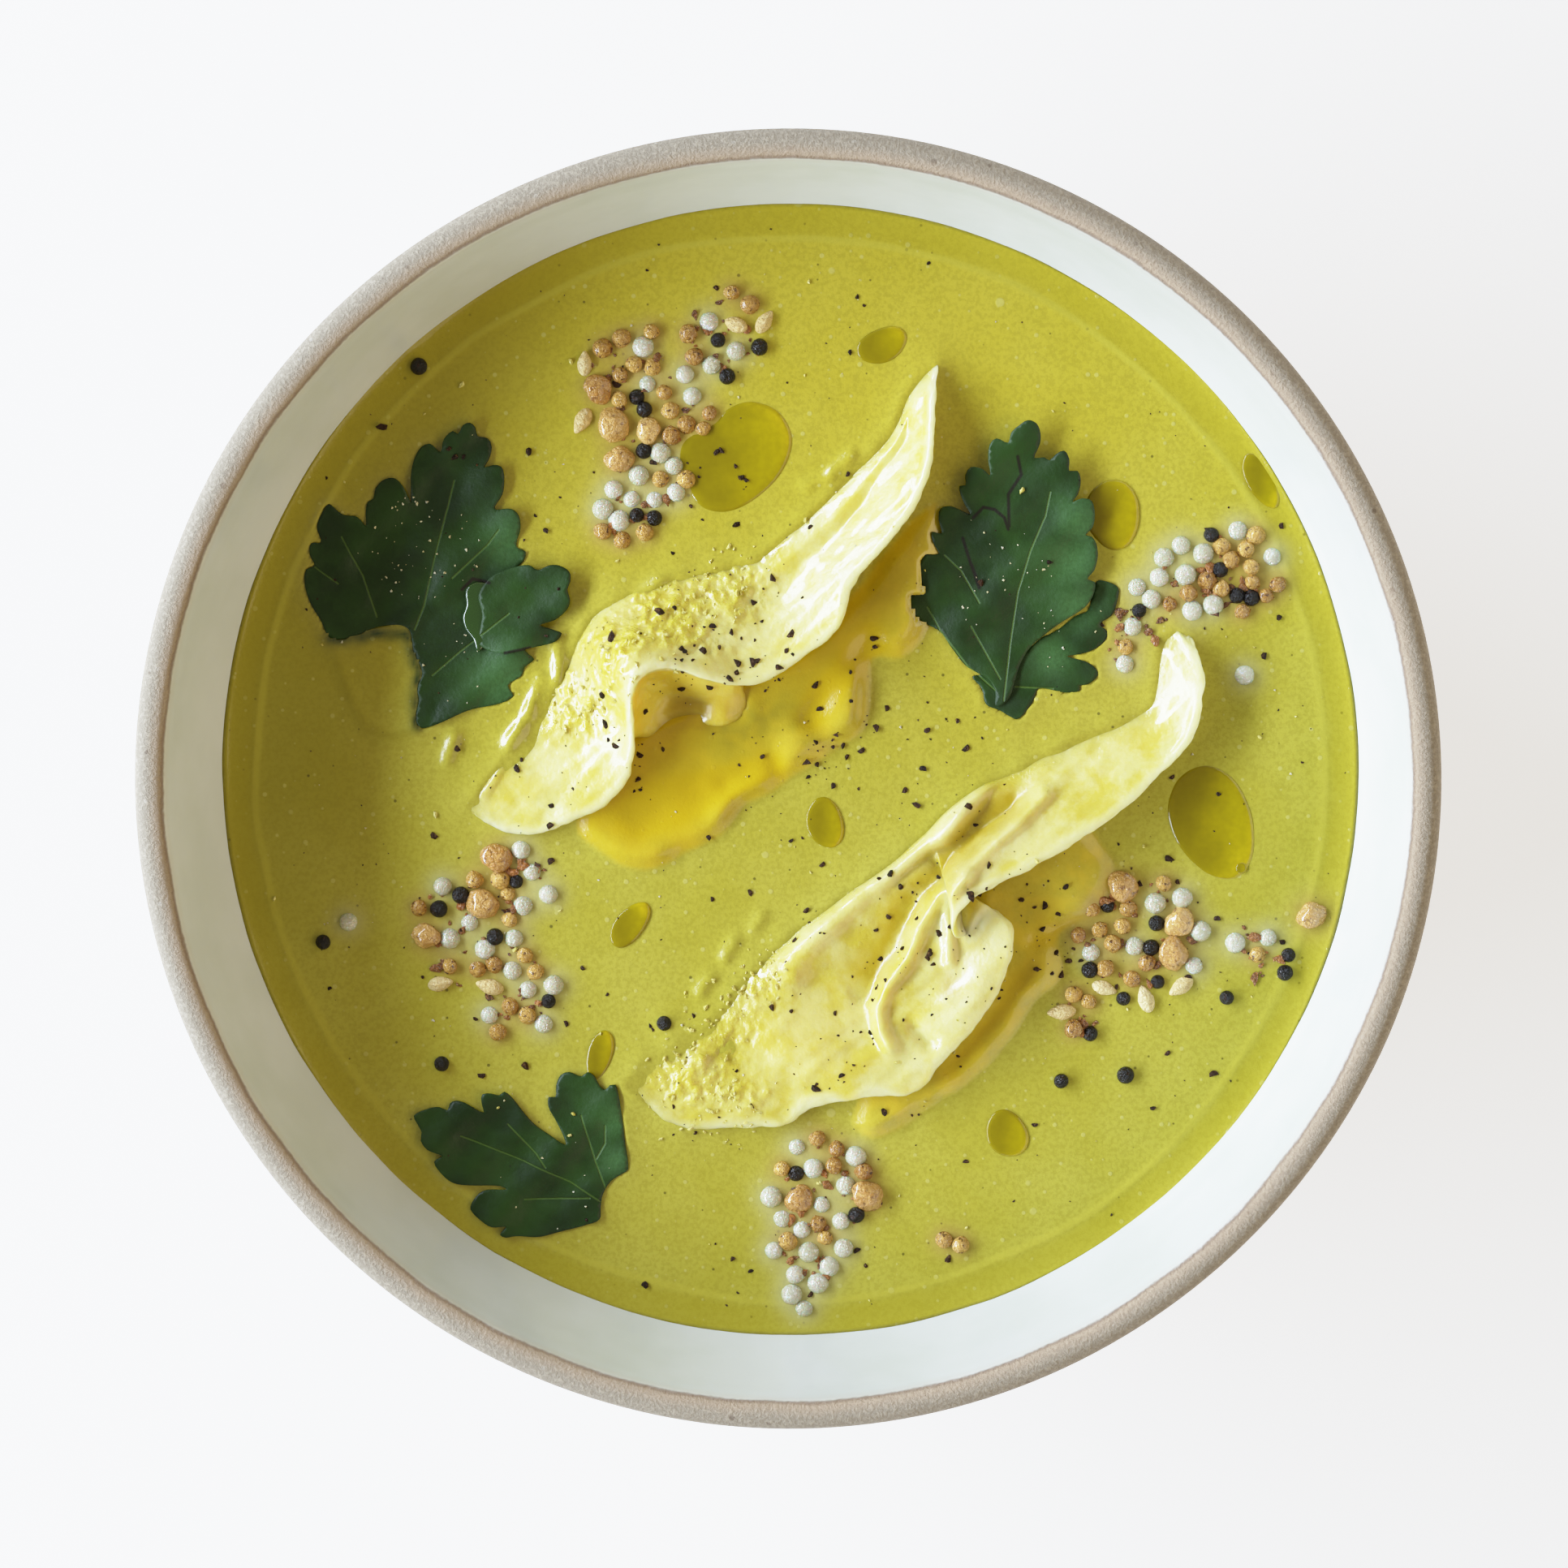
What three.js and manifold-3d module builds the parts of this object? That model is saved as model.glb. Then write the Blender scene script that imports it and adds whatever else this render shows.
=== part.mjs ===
// A bowl of asparagus soup with two half-moon dumplings, three parsley leaves and clusters of
// pearls, toasted grains and mustard seeds.
// Units are millimetres. +Z is up, the origin is the centre of the foot ring's underside, and +Y points
// to the far side of the table.
import * as THREE from "three";
import Module from "manifold-3d";
import { mergeVertices } from "three/addons/utils/BufferGeometryUtils.js";

const wasm = await Module();
wasm.setup();

// ---------------------------------------------------------------- driving dimensions
const rimRadius = 85;
const rimHeight = 61;
const rimBand = 3.8; // bare clay band on top of the wall
const footRadius = 43.6;
const footWidth = 5.2;
const footHeight = 4.4;
const floorTop = 8.6; // the inside of the bowl at its middle
const soupLevel = 43;
const gap = 0.3; // clearance between pieces that touch
const roundSteps = 48; // facets round the bowl and the soup
const stations = 36; // cross-sections along a dumpling
const doughEdge = 1.6; // thickness of the pressed rim of dough
const doughDepth = 23; // how far a dumpling's belly hangs below the soup's surface
const bellyClearance = 2.5; // soup left between a belly and the bowl
const leafThickness = 0.5;
const leafFacet = 8; // the longest edge inside a leaf

// ---------------------------------------------------------------- small tools
// A smooth curve through [place, value] pairs, read at any place.
function through(pairs) {
  const count = pairs.length;
  const slope = pairs.map((pair, index) => {
    const before = pairs[Math.max(index - 1, 0)];
    const after = pairs[Math.min(index + 1, count - 1)];
    return (after[1] - before[1]) / (after[0] - before[0]);
  });
  return (place) => {
    const inside = THREE.MathUtils.clamp(place, pairs[0][0], pairs[count - 1][0]);
    let index = 0;
    while (index < count - 2 && pairs[index + 1][0] < inside) {
      index += 1;
    }
    const width = pairs[index + 1][0] - pairs[index][0];
    const part = (inside - pairs[index][0]) / width;
    const square = part * part;
    const cube = square * part;
    return (
      pairs[index][1] * (2 * cube - 3 * square + 1) +
      slope[index] * width * (cube - 2 * square + part) +
      pairs[index + 1][1] * (3 * square - 2 * cube) +
      slope[index + 1] * width * (cube - square)
    );
  };
}

// A repeatable stream of numbers between 0 and 1.
function numberStream(start) {
  let state = start;
  return () => {
    state = (Math.imul(state, 1664525) + 1013904223) >>> 0;
    return state / 4294967296;
  };
}

function toSolid(geometry) {
  const bare = geometry.clone();
  for (const name of Object.keys(bare.attributes)) {
    if (name !== "position") {
      bare.deleteAttribute(name);
    }
  }
  const merged = mergeVertices(bare, 1e-4);
  const vertProperties = Float32Array.from(merged.attributes.position.array);
  const triVerts = Uint32Array.from(merged.index.array);
  return new wasm.Manifold(new wasm.Mesh({ numProp: 3, vertProperties, triVerts }));
}

function toGeometry(solid) {
  const mesh = solid.getMesh();
  const geometry = new THREE.BufferGeometry();
  geometry.setAttribute("position", new THREE.BufferAttribute(mesh.vertProperties, 3));
  geometry.setIndex(new THREE.BufferAttribute(mesh.triVerts, 1));
  return geometry;
}

// Only the largest body of a cut solid is the piece: thin scraps are dropped.
function largestBody(solid) {
  return solid.decompose().sort((a, b) => b.volume() - a.volume())[0];
}

function indexedGeometry(points, faces) {
  const geometry = new THREE.BufferGeometry();
  const flat = points.flatMap((point) => [point.x, point.y, point.z]);
  geometry.setAttribute("position", new THREE.Float32BufferAttribute(flat, 3));
  geometry.setIndex(faces.flat());
  return geometry;
}

// The same closed surface, pushed outwards all over: it cuts room for a piece and its clearance.
function grown(geometry, distance) {
  const bigger = geometry.clone();
  bigger.computeVertexNormals();
  const place = bigger.attributes.position;
  const normal = bigger.attributes.normal;
  for (let index = 0; index < place.count; index += 1) {
    place.setXYZ(
      index,
      place.getX(index) + normal.getX(index) * distance,
      place.getY(index) + normal.getY(index) * distance,
      place.getZ(index) + normal.getZ(index) * distance,
    );
  }
  return bigger;
}

function namedMesh(name, geometry, color, roughness) {
  const material = new THREE.MeshStandardMaterial({ color, roughness, metalness: 0 });
  const mesh = new THREE.Mesh(geometry, material);
  mesh.name = name;
  return mesh;
}

// ---------------------------------------------------------------- bowl
const glazeRadius = rimRadius - rimBand;

// The inside of the bowl from the glaze line down to its middle, as [radius, height].
const insideWall = [
  [glazeRadius, rimHeight - 0.6],
  [79.6, 55],
  [77.7, 49],
  [75.3, soupLevel],
  [71, 34.5],
  [64, 25.5],
  [54, 17.5],
  [40, 12],
  [22, 9.3],
  [0, floorTop],
];

const rimTop = [
  [rimRadius, rimHeight - 2.2],
  [rimRadius - 0.5, rimHeight - 0.7],
  [rimRadius - 1.8, rimHeight],
  [rimRadius - 3, rimHeight - 0.1],
];

const outsideWall = [
  [0, footHeight],
  [footRadius - footWidth - 1.2, footHeight],
  [footRadius - footWidth, footHeight - 1.2],
  [footRadius - footWidth + 0.4, 0],
  [footRadius - 0.5, 0],
  [footRadius, 0.6],
  [footRadius + 0.2, footHeight + 0.4],
  [52, 11.4],
  [63, 19.4],
  [72, 29],
  [78, 39.4],
  [82, 49],
];

function insideHeight(radius) {
  const walls = [...insideWall].reverse();
  let index = 0;
  while (index < walls.length - 2 && walls[index + 1][0] < radius) {
    index += 1;
  }
  const [innerRadius, innerHeight] = walls[index];
  const [outerRadius, outerHeight] = walls[index + 1];
  const part = (radius - innerRadius) / (outerRadius - innerRadius);
  return innerHeight + (outerHeight - innerHeight) * part;
}

// A lathe turns about Y, so the turned piece is stood up along Z.
function turned(profile) {
  const points = profile.map(([radius, height]) => new THREE.Vector2(radius, height));
  const geometry = new THREE.LatheGeometry(points, roundSteps);
  geometry.rotateX(Math.PI / 2);
  return geometry;
}

function makeBowl() {
  return toGeometry(toSolid(turned([...outsideWall, ...rimTop, ...insideWall])));
}

// ---------------------------------------------------------------- dumplings
// A dumpling stands on its fold in the soup and leans towards the near right, so its pressed rim of dough
// runs from tip to tip along that side. Its outline is given along the line between the tips and across
// it, towards the near right. rise is above the soup.
const dumplings = [
  {
    name: "dumpling_1",
    from: [-43, -4.7],
    to: [19.6, 54.6],
    // [along, across, rise] of the free edge of the dough
    edge: [
      [0, 0.4, 0.6], [1, 4.6, 1], [4.7, 9.2, 1.8], [8.6, 10.5, 2.8], [13, 12.2, 3.8], [18.5, 12.2, 5],
      [21.8, 10.2, 6.2], [25.2, 6.3, 8], [27.4, 3.8, 9.2], [30, 2.7, 9.6], [33.5, 4.8, 8.6],
      [36.2, 10, 7.4], [39.5, 14.4, 6.4], [45, 15.7, 6.2], [51, 16.6, 7], [54.7, 16.2, 7.6],
      [56.4, 14.4, 7], [59, 13.3, 6.2], [66.7, 12.7, 6.8], [73, 11.2, 6.6], [78, 8, 6], [82, 4, 4.6],
      [86.2, 0.2, 1.4],
    ],
    waterline: [
      [0, -0.4], [9, -2.4], [16, -3.4], [23, -5.4], [29.5, -7.6], [36, -6.4], [42, -3.9], [50, 1],
      [58, 2.1], [68, 2.2], [75, 1.8], [82, -0.8], [86.2, -0.4],
    ],
    // how far the belly reaches across, under the dough's rim
    belly: [
      [0, 0.6], [5, 9], [9, 17.5], [13, 23.5], [20, 26.4], [28, 27], [36, 24.6], [45, 28.8], [52, 26.4],
      [59, 26], [66, 20.5], [74, 13], [81, 6], [86.2, 0.4],
    ],
    // [along, reach] of the web: how far the dough slopes outwards below its rim before it meets the soup
    web: [[0, 0], [20, 0], [22, 1.3], [26, 6], [30, 9.8], [32, 12.5], [34.6, 10.3], [36.5, 6], [38.5, 2], [40, 0],
      [86.2, 0]],
    bulge: 0.9,
    // [along, across] of both ends of a ridge (height above 0) or a hollow, and its half width
    folds: [
      { ends: [[20, -2], [44, 4]], height: 0.9, width: 3 },
      { ends: [[8, 2], [24, 5]], height: -0.7, width: 3 },
      { ends: [[46, 10], [66, 7]], height: -0.9, width: 3.2 },
      { ends: [[5, 0], [8, 4]], height: 0.8, width: 1.4 },
    ],
  },
  {
    name: "dumpling_2",
    from: [-21.8, -42],
    to: [53, 18.6],
    edge: [
      [0, 0.4, 0.6], [0.6, 4.6, 0.8], [2, 9, 1], [6.6, 12.5, 1.4], [11, 15.8, 1.8], [13.6, 18, 2],
      [17.4, 17.2, 2.4], [20, 18.2, 2.8], [22, 20.6, 3.2], [25.6, 21.2, 3.4], [28.2, 24.6, 3.2],
      [32, 25.4, 3.4], [35, 23.6, 4.2], [38.5, 23.4, 4.8], [43.5, 22.3, 5.4], [48.6, 20.3, 5.8],
      [52.8, 17.3, 5.6], [55, 14.4, 4.4], [53, 12, 3.4], [49, 12.6, 4.2], [46.4, 12.2, 6],
      [47.8, 9.8, 7.4], [51, 8.4, 8], [56, 9.4, 7.6], [61, 10.6, 7.2], [67, 11.4, 7.2], [74, 12.3, 7.4],
      [80.5, 11.8, 7.6], [87.5, 11, 7.2], [92.4, 7.8, 6.4], [95.6, 3.6, 4.4], [96.3, 0.2, 1.4],
    ],
    waterline: [
      [0, -0.4], [4, -2.2], [14, -0.6], [20, -2], [28, -3.4], [36, -3], [48, -1.8], [60, -2.2], [70, -0.8],
      [78, 1.2], [86, 3.8], [92, 1.6], [96.3, -0.4],
    ],
    belly: [
      [0, 0.6], [6, 10], [13, 18.4], [19, 22.6], [24, 27.4], [30, 29.6], [38, 29.8], [46, 29.2], [54, 28],
      [60, 24], [68, 18], [78, 14], [88, 9], [96.3, 0.4],
    ],
    web: [[0, 0], [96.3, 0]],
    bulge: 0.6,
    folds: [
      { ends: [[22, 1.5], [42, -0.4]], height: 1.3, width: 2.4 },
      { ends: [[42, -0.4], [64, -0.8]], height: 2, width: 2.2 },
      { ends: [[33, 9.5], [42, 4.4]], height: -1.2, width: 1.7 },
      { ends: [[42, 4.4], [66, 1.9]], height: -1.4, width: 1.5 },
      { ends: [[33, 12.4], [48, 6.2]], height: 1, width: 1.5 },
      { ends: [[48, 6.2], [70, 4]], height: 0.8, width: 1.5 },
      { ends: [[43, 16], [50, 11.5]], height: -1.6, width: 1.9 },
      { ends: [[12, 5], [17, 12]], height: -1, width: 2.2 },
      { ends: [[8, 4], [12, 12]], height: 1.2, width: 2.6 },
      { ends: [[22, 10], [34, 18]], height: 1.2, width: 4 },
    ],
  },
];

function foldHeight(folds, along, across) {
  let height = 0;
  for (const fold of folds) {
    const start = new THREE.Vector3(fold.ends[0][0], fold.ends[0][1], 0);
    const end = new THREE.Vector3(fold.ends[1][0], fold.ends[1][1], 0);
    const place = new THREE.Vector3(along, across, 0);
    const nearest = new THREE.Line3(start, end).closestPointToPoint(place, true, new THREE.Vector3());
    const distance = nearest.distanceTo(place) / fold.width;
    height += fold.height * Math.exp(-distance * distance);
  }
  return height;
}

// Where each cross-section starts along the waterline: between an even step and its own point of the
// free edge, smoothed so that the sections don't cross where the edge folds back.
function seamPlaces(edgePoints, length) {
  const mixed = edgePoints.map((point, index) => {
    const even = (index / (edgePoints.length - 1)) * length;
    return 0.55 * point.x + 0.45 * even;
  });
  const reach = 4;
  const smooth = mixed.map((value, index) => {
    const span = Math.min(reach, index, mixed.length - 1 - index);
    const near = mixed.slice(index - span, index + span + 1);
    return near.reduce((sum, one) => sum + one, 0) / near.length;
  });
  return smooth.sort((a, b) => a - b);
}

// One closed cross-section, from the free edge down over the top to the waterline, round the belly and
// back under the rim of dough. Points are [along, across, rise].
function doughSection(form, seam, edge, length) {
  const water = form.waterlineAt(seam);
  const belly = form.bellyAt(seam);
  const plump = Math.pow(Math.sin(Math.PI * THREE.MathUtils.clamp(seam / length, 0.01, 0.99)), 0.55);
  const thickness = doughEdge * Math.min(1, 0.45 + plump);
  const top = (part) => {
    const along = THREE.MathUtils.lerp(seam, edge.x, part);
    const across = THREE.MathUtils.lerp(water, edge.y, part);
    const fade = Math.min(1, 4 * part * (1 - part) + 0.1) * Math.min(1, plump * 1.2);
    const swell = form.bulge * Math.sin(Math.PI * part) * plump;
    return [along, across, edge.z * part + swell + fade * foldHeight(form.folds, along, across)];
  };
  const under = (part, drop) => {
    const [along, across, rise] = top(part);
    return [along, across, rise - drop];
  };
  const root = under(0.5, 1 + 2.2 * plump);
  const rootLow = THREE.MathUtils.lerp(-0.9, 0.6, THREE.MathUtils.smoothstep(edge.z, 1.2, 2.4));
  const rootRise = THREE.MathUtils.clamp(root[2], rootLow, 1.4);
  const floor = -doughDepth * plump;
  const reach = Math.max(0, form.webAt(edge.x));
  const webbed = THREE.MathUtils.smoothstep(reach, 0, 4);
  const towards = (point, goal) => point.map((value, index) => THREE.MathUtils.lerp(value, goal[index], webbed));
  const webRoot = [(seam + edge.x) / 2, edge.y + reach + 2.5, -1.2];
  const webFoot = [edge.x, edge.y + reach, 0.4];
  const webMiddle = [edge.x, edge.y + 0.4 * reach, 0.4 + edge.z * 0.3];
  return [
    [edge.x, edge.y, edge.z],
    top(0.85),
    top(0.68),
    top(0.52),
    top(0.36),
    top(0.18),
    top(0),
    [seam, water - 2 * plump, -4 * plump - 0.4],
    [seam, water - 1.6 * plump, -12 * plump - 0.7],
    [seam, THREE.MathUtils.lerp(water, belly, 0.35), floor - 0.9],
    [seam, belly - 3 * plump, -15 * plump - 0.8],
    [seam, belly, -7 * plump - 0.5],
    [seam, belly - 1.8 * plump, -2.6 * plump - 0.4],
    towards([seam, THREE.MathUtils.lerp(Math.min(root[1], belly), belly, 0.6), -1.2], webRoot),
    towards([root[0], root[1], rootRise], webFoot),
    towards(under(0.8, thickness + 0.5), webMiddle),
    [edge.x, edge.y - 0.25 * plump, edge.z - thickness],
  ];
}

function makeDumpling(form) {
  const start = new THREE.Vector3(...form.from, soupLevel);
  const forward = new THREE.Vector3(form.to[0] - form.from[0], form.to[1] - form.from[1], 0);
  const length = forward.length();
  forward.normalize();
  const sideways = new THREE.Vector3(forward.y, -forward.x, 0);
  const shape = {
    ...form,
    waterlineAt: through(form.waterline),
    bellyAt: through(form.belly),
    webAt: through(form.web),
  };
  const rim = new THREE.CatmullRomCurve3(
    form.edge.map((point) => new THREE.Vector3(...point)),
    false,
    "centripetal",
  );
  const edgePoints = rim.getSpacedPoints(stations);
  const seams = seamPlaces(edgePoints, length);
  const sections = edgePoints.map((edge, index) =>
    doughSection(shape, seams[index], edge, length).map(([along, across, rise]) => {
      const point = start.clone().addScaledVector(forward, along).addScaledVector(sideways, across);
      point.z += rise;
      const lowest = insideHeight(Math.hypot(point.x, point.y)) + bellyClearance;
      point.z = Math.max(point.z, lowest);
      return point;
    }),
  );
  return lofted(sections);
}

// A closed skin over a row of sections with the same number of points each.
function lofted(sections) {
  const size = sections[0].length;
  const points = sections.flat();
  const faces = [];
  for (let row = 0; row < sections.length - 1; row += 1) {
    for (let step = 0; step < size; step += 1) {
      const next = (step + 1) % size;
      const here = row * size;
      const there = here + size;
      faces.push([here + step, there + next, here + next]);
      faces.push([here + step, there + step, there + next]);
    }
  }
  closeEnd(points, faces, sections[0], 0, true);
  closeEnd(points, faces, sections[sections.length - 1], points.length - 1 - size, false);
  return indexedGeometry(points, faces);
}

function closeEnd(points, faces, section, first, turnedBack) {
  const middle = section.reduce((sum, point) => sum.add(point), new THREE.Vector3());
  points.push(middle.divideScalar(section.length));
  const centre = points.length - 1;
  for (let step = 0; step < section.length; step += 1) {
    const next = (step + 1) % section.length;
    const face = turnedBack ? [centre, first + step, first + next] : [centre, first + next, first + step];
    faces.push(face);
  }
}

// ---------------------------------------------------------------- parsley
// Each leaf is a row of teeth round its edge: [tip x, tip y, notch x, notch y], with the notch that
// follows the tip. The teeth swell outwards between notches. veins start at the stalk's end.
const leaves = [
  {
    name: "parsley_leaf_1",
    teeth: [
      [-42.4, 46.8, -40.8, 44.6], [-39.4, 44.1, -40.6, 40.7], [-37.7, 39.1, -39.2, 35.2],
      [-35.7, 32.9, -36.2, 30.4], [-35.1, 29.4, -35.4, 28.4], [-32.5, 30.4, -31, 28.9],
      [-29.2, 26.9, -29.7, 25.2], [-29.1, 22.8, -32.5, 20.2], [-30.3, 19.1, -31.9, 17.1],
      [-33.9, 15.6, -36.1, 13.7], [-37, 10.4, -40.1, 9.2], [-49, 6, -51.4, 6.3], [-53.8, 5, -56.6, 7.6],
      [-59, 11.7, -59.7, 14.7], [-61.3, 18.2, -62.7, 21.3], [-64.3, 25.6, -63.8, 28.2],
      [-63.7, 31, -62.7, 32.3], [-61.5, 36, -59.7, 34.1], [-58.3, 34.3, -56.2, 33],
      [-55.5, 37.8, -54, 38], [-52.6, 39.5, -50, 36.5], [-49.9, 41.6, -49, 41.9],
      [-47.9, 44.1, -46, 42.2], [-45.3, 45.8, -44.3, 45.6],
    ],
    middle: [-47, 26],
    lift: 0.7,
    wave: 0.8,
    tilt: [0.012, 0.01],
  },
  {
    name: "parsley_leaf_2",
    teeth: [
      [26.9, 12, 25.1, 13.2], [21.3, 16.6, 20, 19.3], [16.2, 23.4, 17.8, 24.5], [17.7, 28.2, 19.9, 29.2],
      [19.1, 31.8, 19.6, 33.4], [20.6, 35.6, 23.1, 34.8], [22.7, 38, 23.5, 39.7], [24.6, 41, 26.7, 39.7],
      [26.6, 43.2, 27.8, 44.2], [28.9, 44.5, 29.3, 45], [31.7, 47.1, 33.5, 44.9], [34, 43, 34.4, 42],
      [36.6, 42.9, 36.9, 41], [38.4, 39.5, 37.4, 36.3], [40.1, 36.2, 39.5, 33.4],
      [40.8, 30.4, 39.5, 26.1], [40.3, 24.5, 37.6, 21.3], [34.4, 19.2, 35.4, 19.5],
      [42.2, 19, 37.3, 15.9], [40.9, 14.1, 38.4, 11.9], [33.1, 11.3, 30, 11.5], [28.8, 9.3, 27.8, 9.3],
    ],
    middle: [29, 28],
    lift: 1.4,
    wave: 1,
    tilt: [0.02, 0.035],
  },
  {
    name: "parsley_leaf_3",
    teeth: [
      [-22.1, -53.5, -22.5, -49.6], [-22.7, -46, -23.3, -43.6], [-23.9, -41.4, -24.8, -42.5],
      [-26.1, -40.2, -27.7, -40.5], [-29.4, -39.8, -30.6, -40.8], [-32, -42.9, -31.9, -44.3],
      [-32.3, -45.4, -29.7, -49.9], [-32.8, -47.6, -34.9, -46.2], [-36.1, -44.9, -36.9, -43.6],
      [-38.3, -42.7, -39.9, -42.8], [-41.2, -43.9, -40.6, -45.8], [-43.8, -44.1, -45.3, -44.5],
      [-47, -44.5, -48.2, -45.2], [-50, -46.2, -49, -48.6], [-47.5, -51.2, -47.3, -52.4],
      [-44.9, -54.9, -37.6, -55.7], [-41, -56.5, -41.9, -57.8], [-42.6, -59.1, -41, -60.1],
      [-39.2, -61.4, -38.2, -62.3], [-34.6, -62.5, -30.8, -61.9], [-27.3, -60.9, -25.9, -59.8],
      [-24.9, -57.6, -24, -56.2],
    ],
    middle: [-34, -52],
    lift: 0.9,
    wave: 0.7,
    tilt: [-0.015, 0.01],
  },
];

// One side of a tooth, bowed outwards from its chord.
function bowedSide(start, end, bow, steps) {
  const side = new THREE.Vector2().subVectors(end, start);
  const outward = new THREE.Vector2(-side.y, side.x).multiplyScalar(bow);
  const control = new THREE.Vector2().addVectors(start, end).multiplyScalar(0.5).add(outward);
  return new THREE.QuadraticBezierCurve(start, control, end).getPoints(steps).slice(0, steps);
}

function leafOutline(teeth) {
  const tips = teeth.map(([x, y]) => new THREE.Vector2(x, y));
  const notches = teeth.map((tooth) => new THREE.Vector2(tooth[2], tooth[3]));
  const turns = THREE.ShapeUtils.isClockWise(tips) ? 1 : -1;
  const outline = [];
  tips.forEach((tip, index) => {
    const before = notches[(index + notches.length - 1) % notches.length];
    outline.push(...bowedSide(before, tip, 0.22 * turns, 2));
    outline.push(...bowedSide(tip, notches[index], 0.22 * turns, 2));
  });
  return outline;
}

// Splits every edge longer than the limit at its middle, alike on both of its triangles.
function splitLongEdges(points, triangles, limit) {
  const middles = new Map();
  const middleOf = (one, other) => {
    if (points[one].distanceTo(points[other]) <= limit) {
      return -1;
    }
    const key = `${Math.min(one, other)}_${Math.max(one, other)}`;
    if (!middles.has(key)) {
      points.push(points[one].clone().lerp(points[other], 0.5));
      middles.set(key, points.length - 1);
    }
    return middles.get(key);
  };
  return triangles.flatMap((triangle) => {
    const cuts = [0, 1, 2].map((side) => middleOf(triangle[side], triangle[(side + 1) % 3]));
    const count = cuts.filter((cut) => cut >= 0).length;
    if (count === 0) {
      return [triangle];
    }
    const turn = turnTo(cuts, count);
    const [a, b, c] = [0, 1, 2].map((side) => triangle[(side + turn) % 3]);
    const [ab, bc, ca] = [0, 1, 2].map((side) => cuts[(side + turn) % 3]);
    if (count === 1) {
      return [[a, ab, c], [ab, b, c]];
    }
    if (count === 2) {
      return [[a, ab, c], [ab, bc, c], [ab, b, bc]];
    }
    return [[a, ab, ca], [ab, b, bc], [ca, bc, c], [ab, bc, ca]];
  });
}

// Which corner comes first, so that the cut sides of a triangle lead.
function turnTo(cuts, count) {
  if (count === 1) {
    return cuts.findIndex((cut) => cut >= 0);
  }
  if (count === 2) {
    return (cuts.findIndex((cut) => cut < 0) + 1) % 3;
  }
  return 0;
}

function leafHeight(leaf, point) {
  const x = point.x - leaf.middle[0];
  const y = point.y - leaf.middle[1];
  const ripple = Math.sin(x * 0.42 + 0.6) * Math.cos(y * 0.33 - 0.4) + 0.5 * Math.sin((x - y) * 0.7);
  const slope = x * leaf.tilt[0] + y * leaf.tilt[1];
  const height = leaf.lift + slope + leaf.wave * 0.5 * ripple;
  return soupLevel + Math.max(gap, height);
}

function makeLeaf(leaf) {
  const outline = leafOutline(leaf.teeth);
  if (THREE.ShapeUtils.isClockWise(outline)) {
    outline.reverse();
  }
  const rimCount = outline.length;
  const flat = [...outline];
  let triangles = THREE.ShapeUtils.triangulateShape(outline, []);
  for (let round = 0; round < 3; round += 1) {
    triangles = splitLongEdges(flat, triangles, leafFacet);
  }
  const below = flat.map((point) => new THREE.Vector3(point.x, point.y, leafHeight(leaf, point)));
  const above = below.map((point) => point.clone().setZ(point.z + leafThickness));
  const shift = flat.length;
  const faces = triangles.map(([a, b, c]) => [a + shift, b + shift, c + shift]);
  faces.push(...triangles.map(([a, b, c]) => [a, c, b]));
  for (let index = 0; index < rimCount; index += 1) {
    const next = (index + 1) % rimCount;
    faces.push([index, next, next + shift], [index, next + shift, index + shift]);
  }
  return indexedGeometry([...below, ...above], faces);
}

// ---------------------------------------------------------------- grains on the soup
// Half sizes of one grain: long, wide and high.
const grainSizes = {
  lump: [1.95, 1.7, 1.3],
  pearl: [1.3, 1.3, 1.25],
  toasted: [1.1, 1.05, 1],
  sesame: [1.75, 1, 0.75],
  mustard: [1, 1, 0.95],
};

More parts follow.
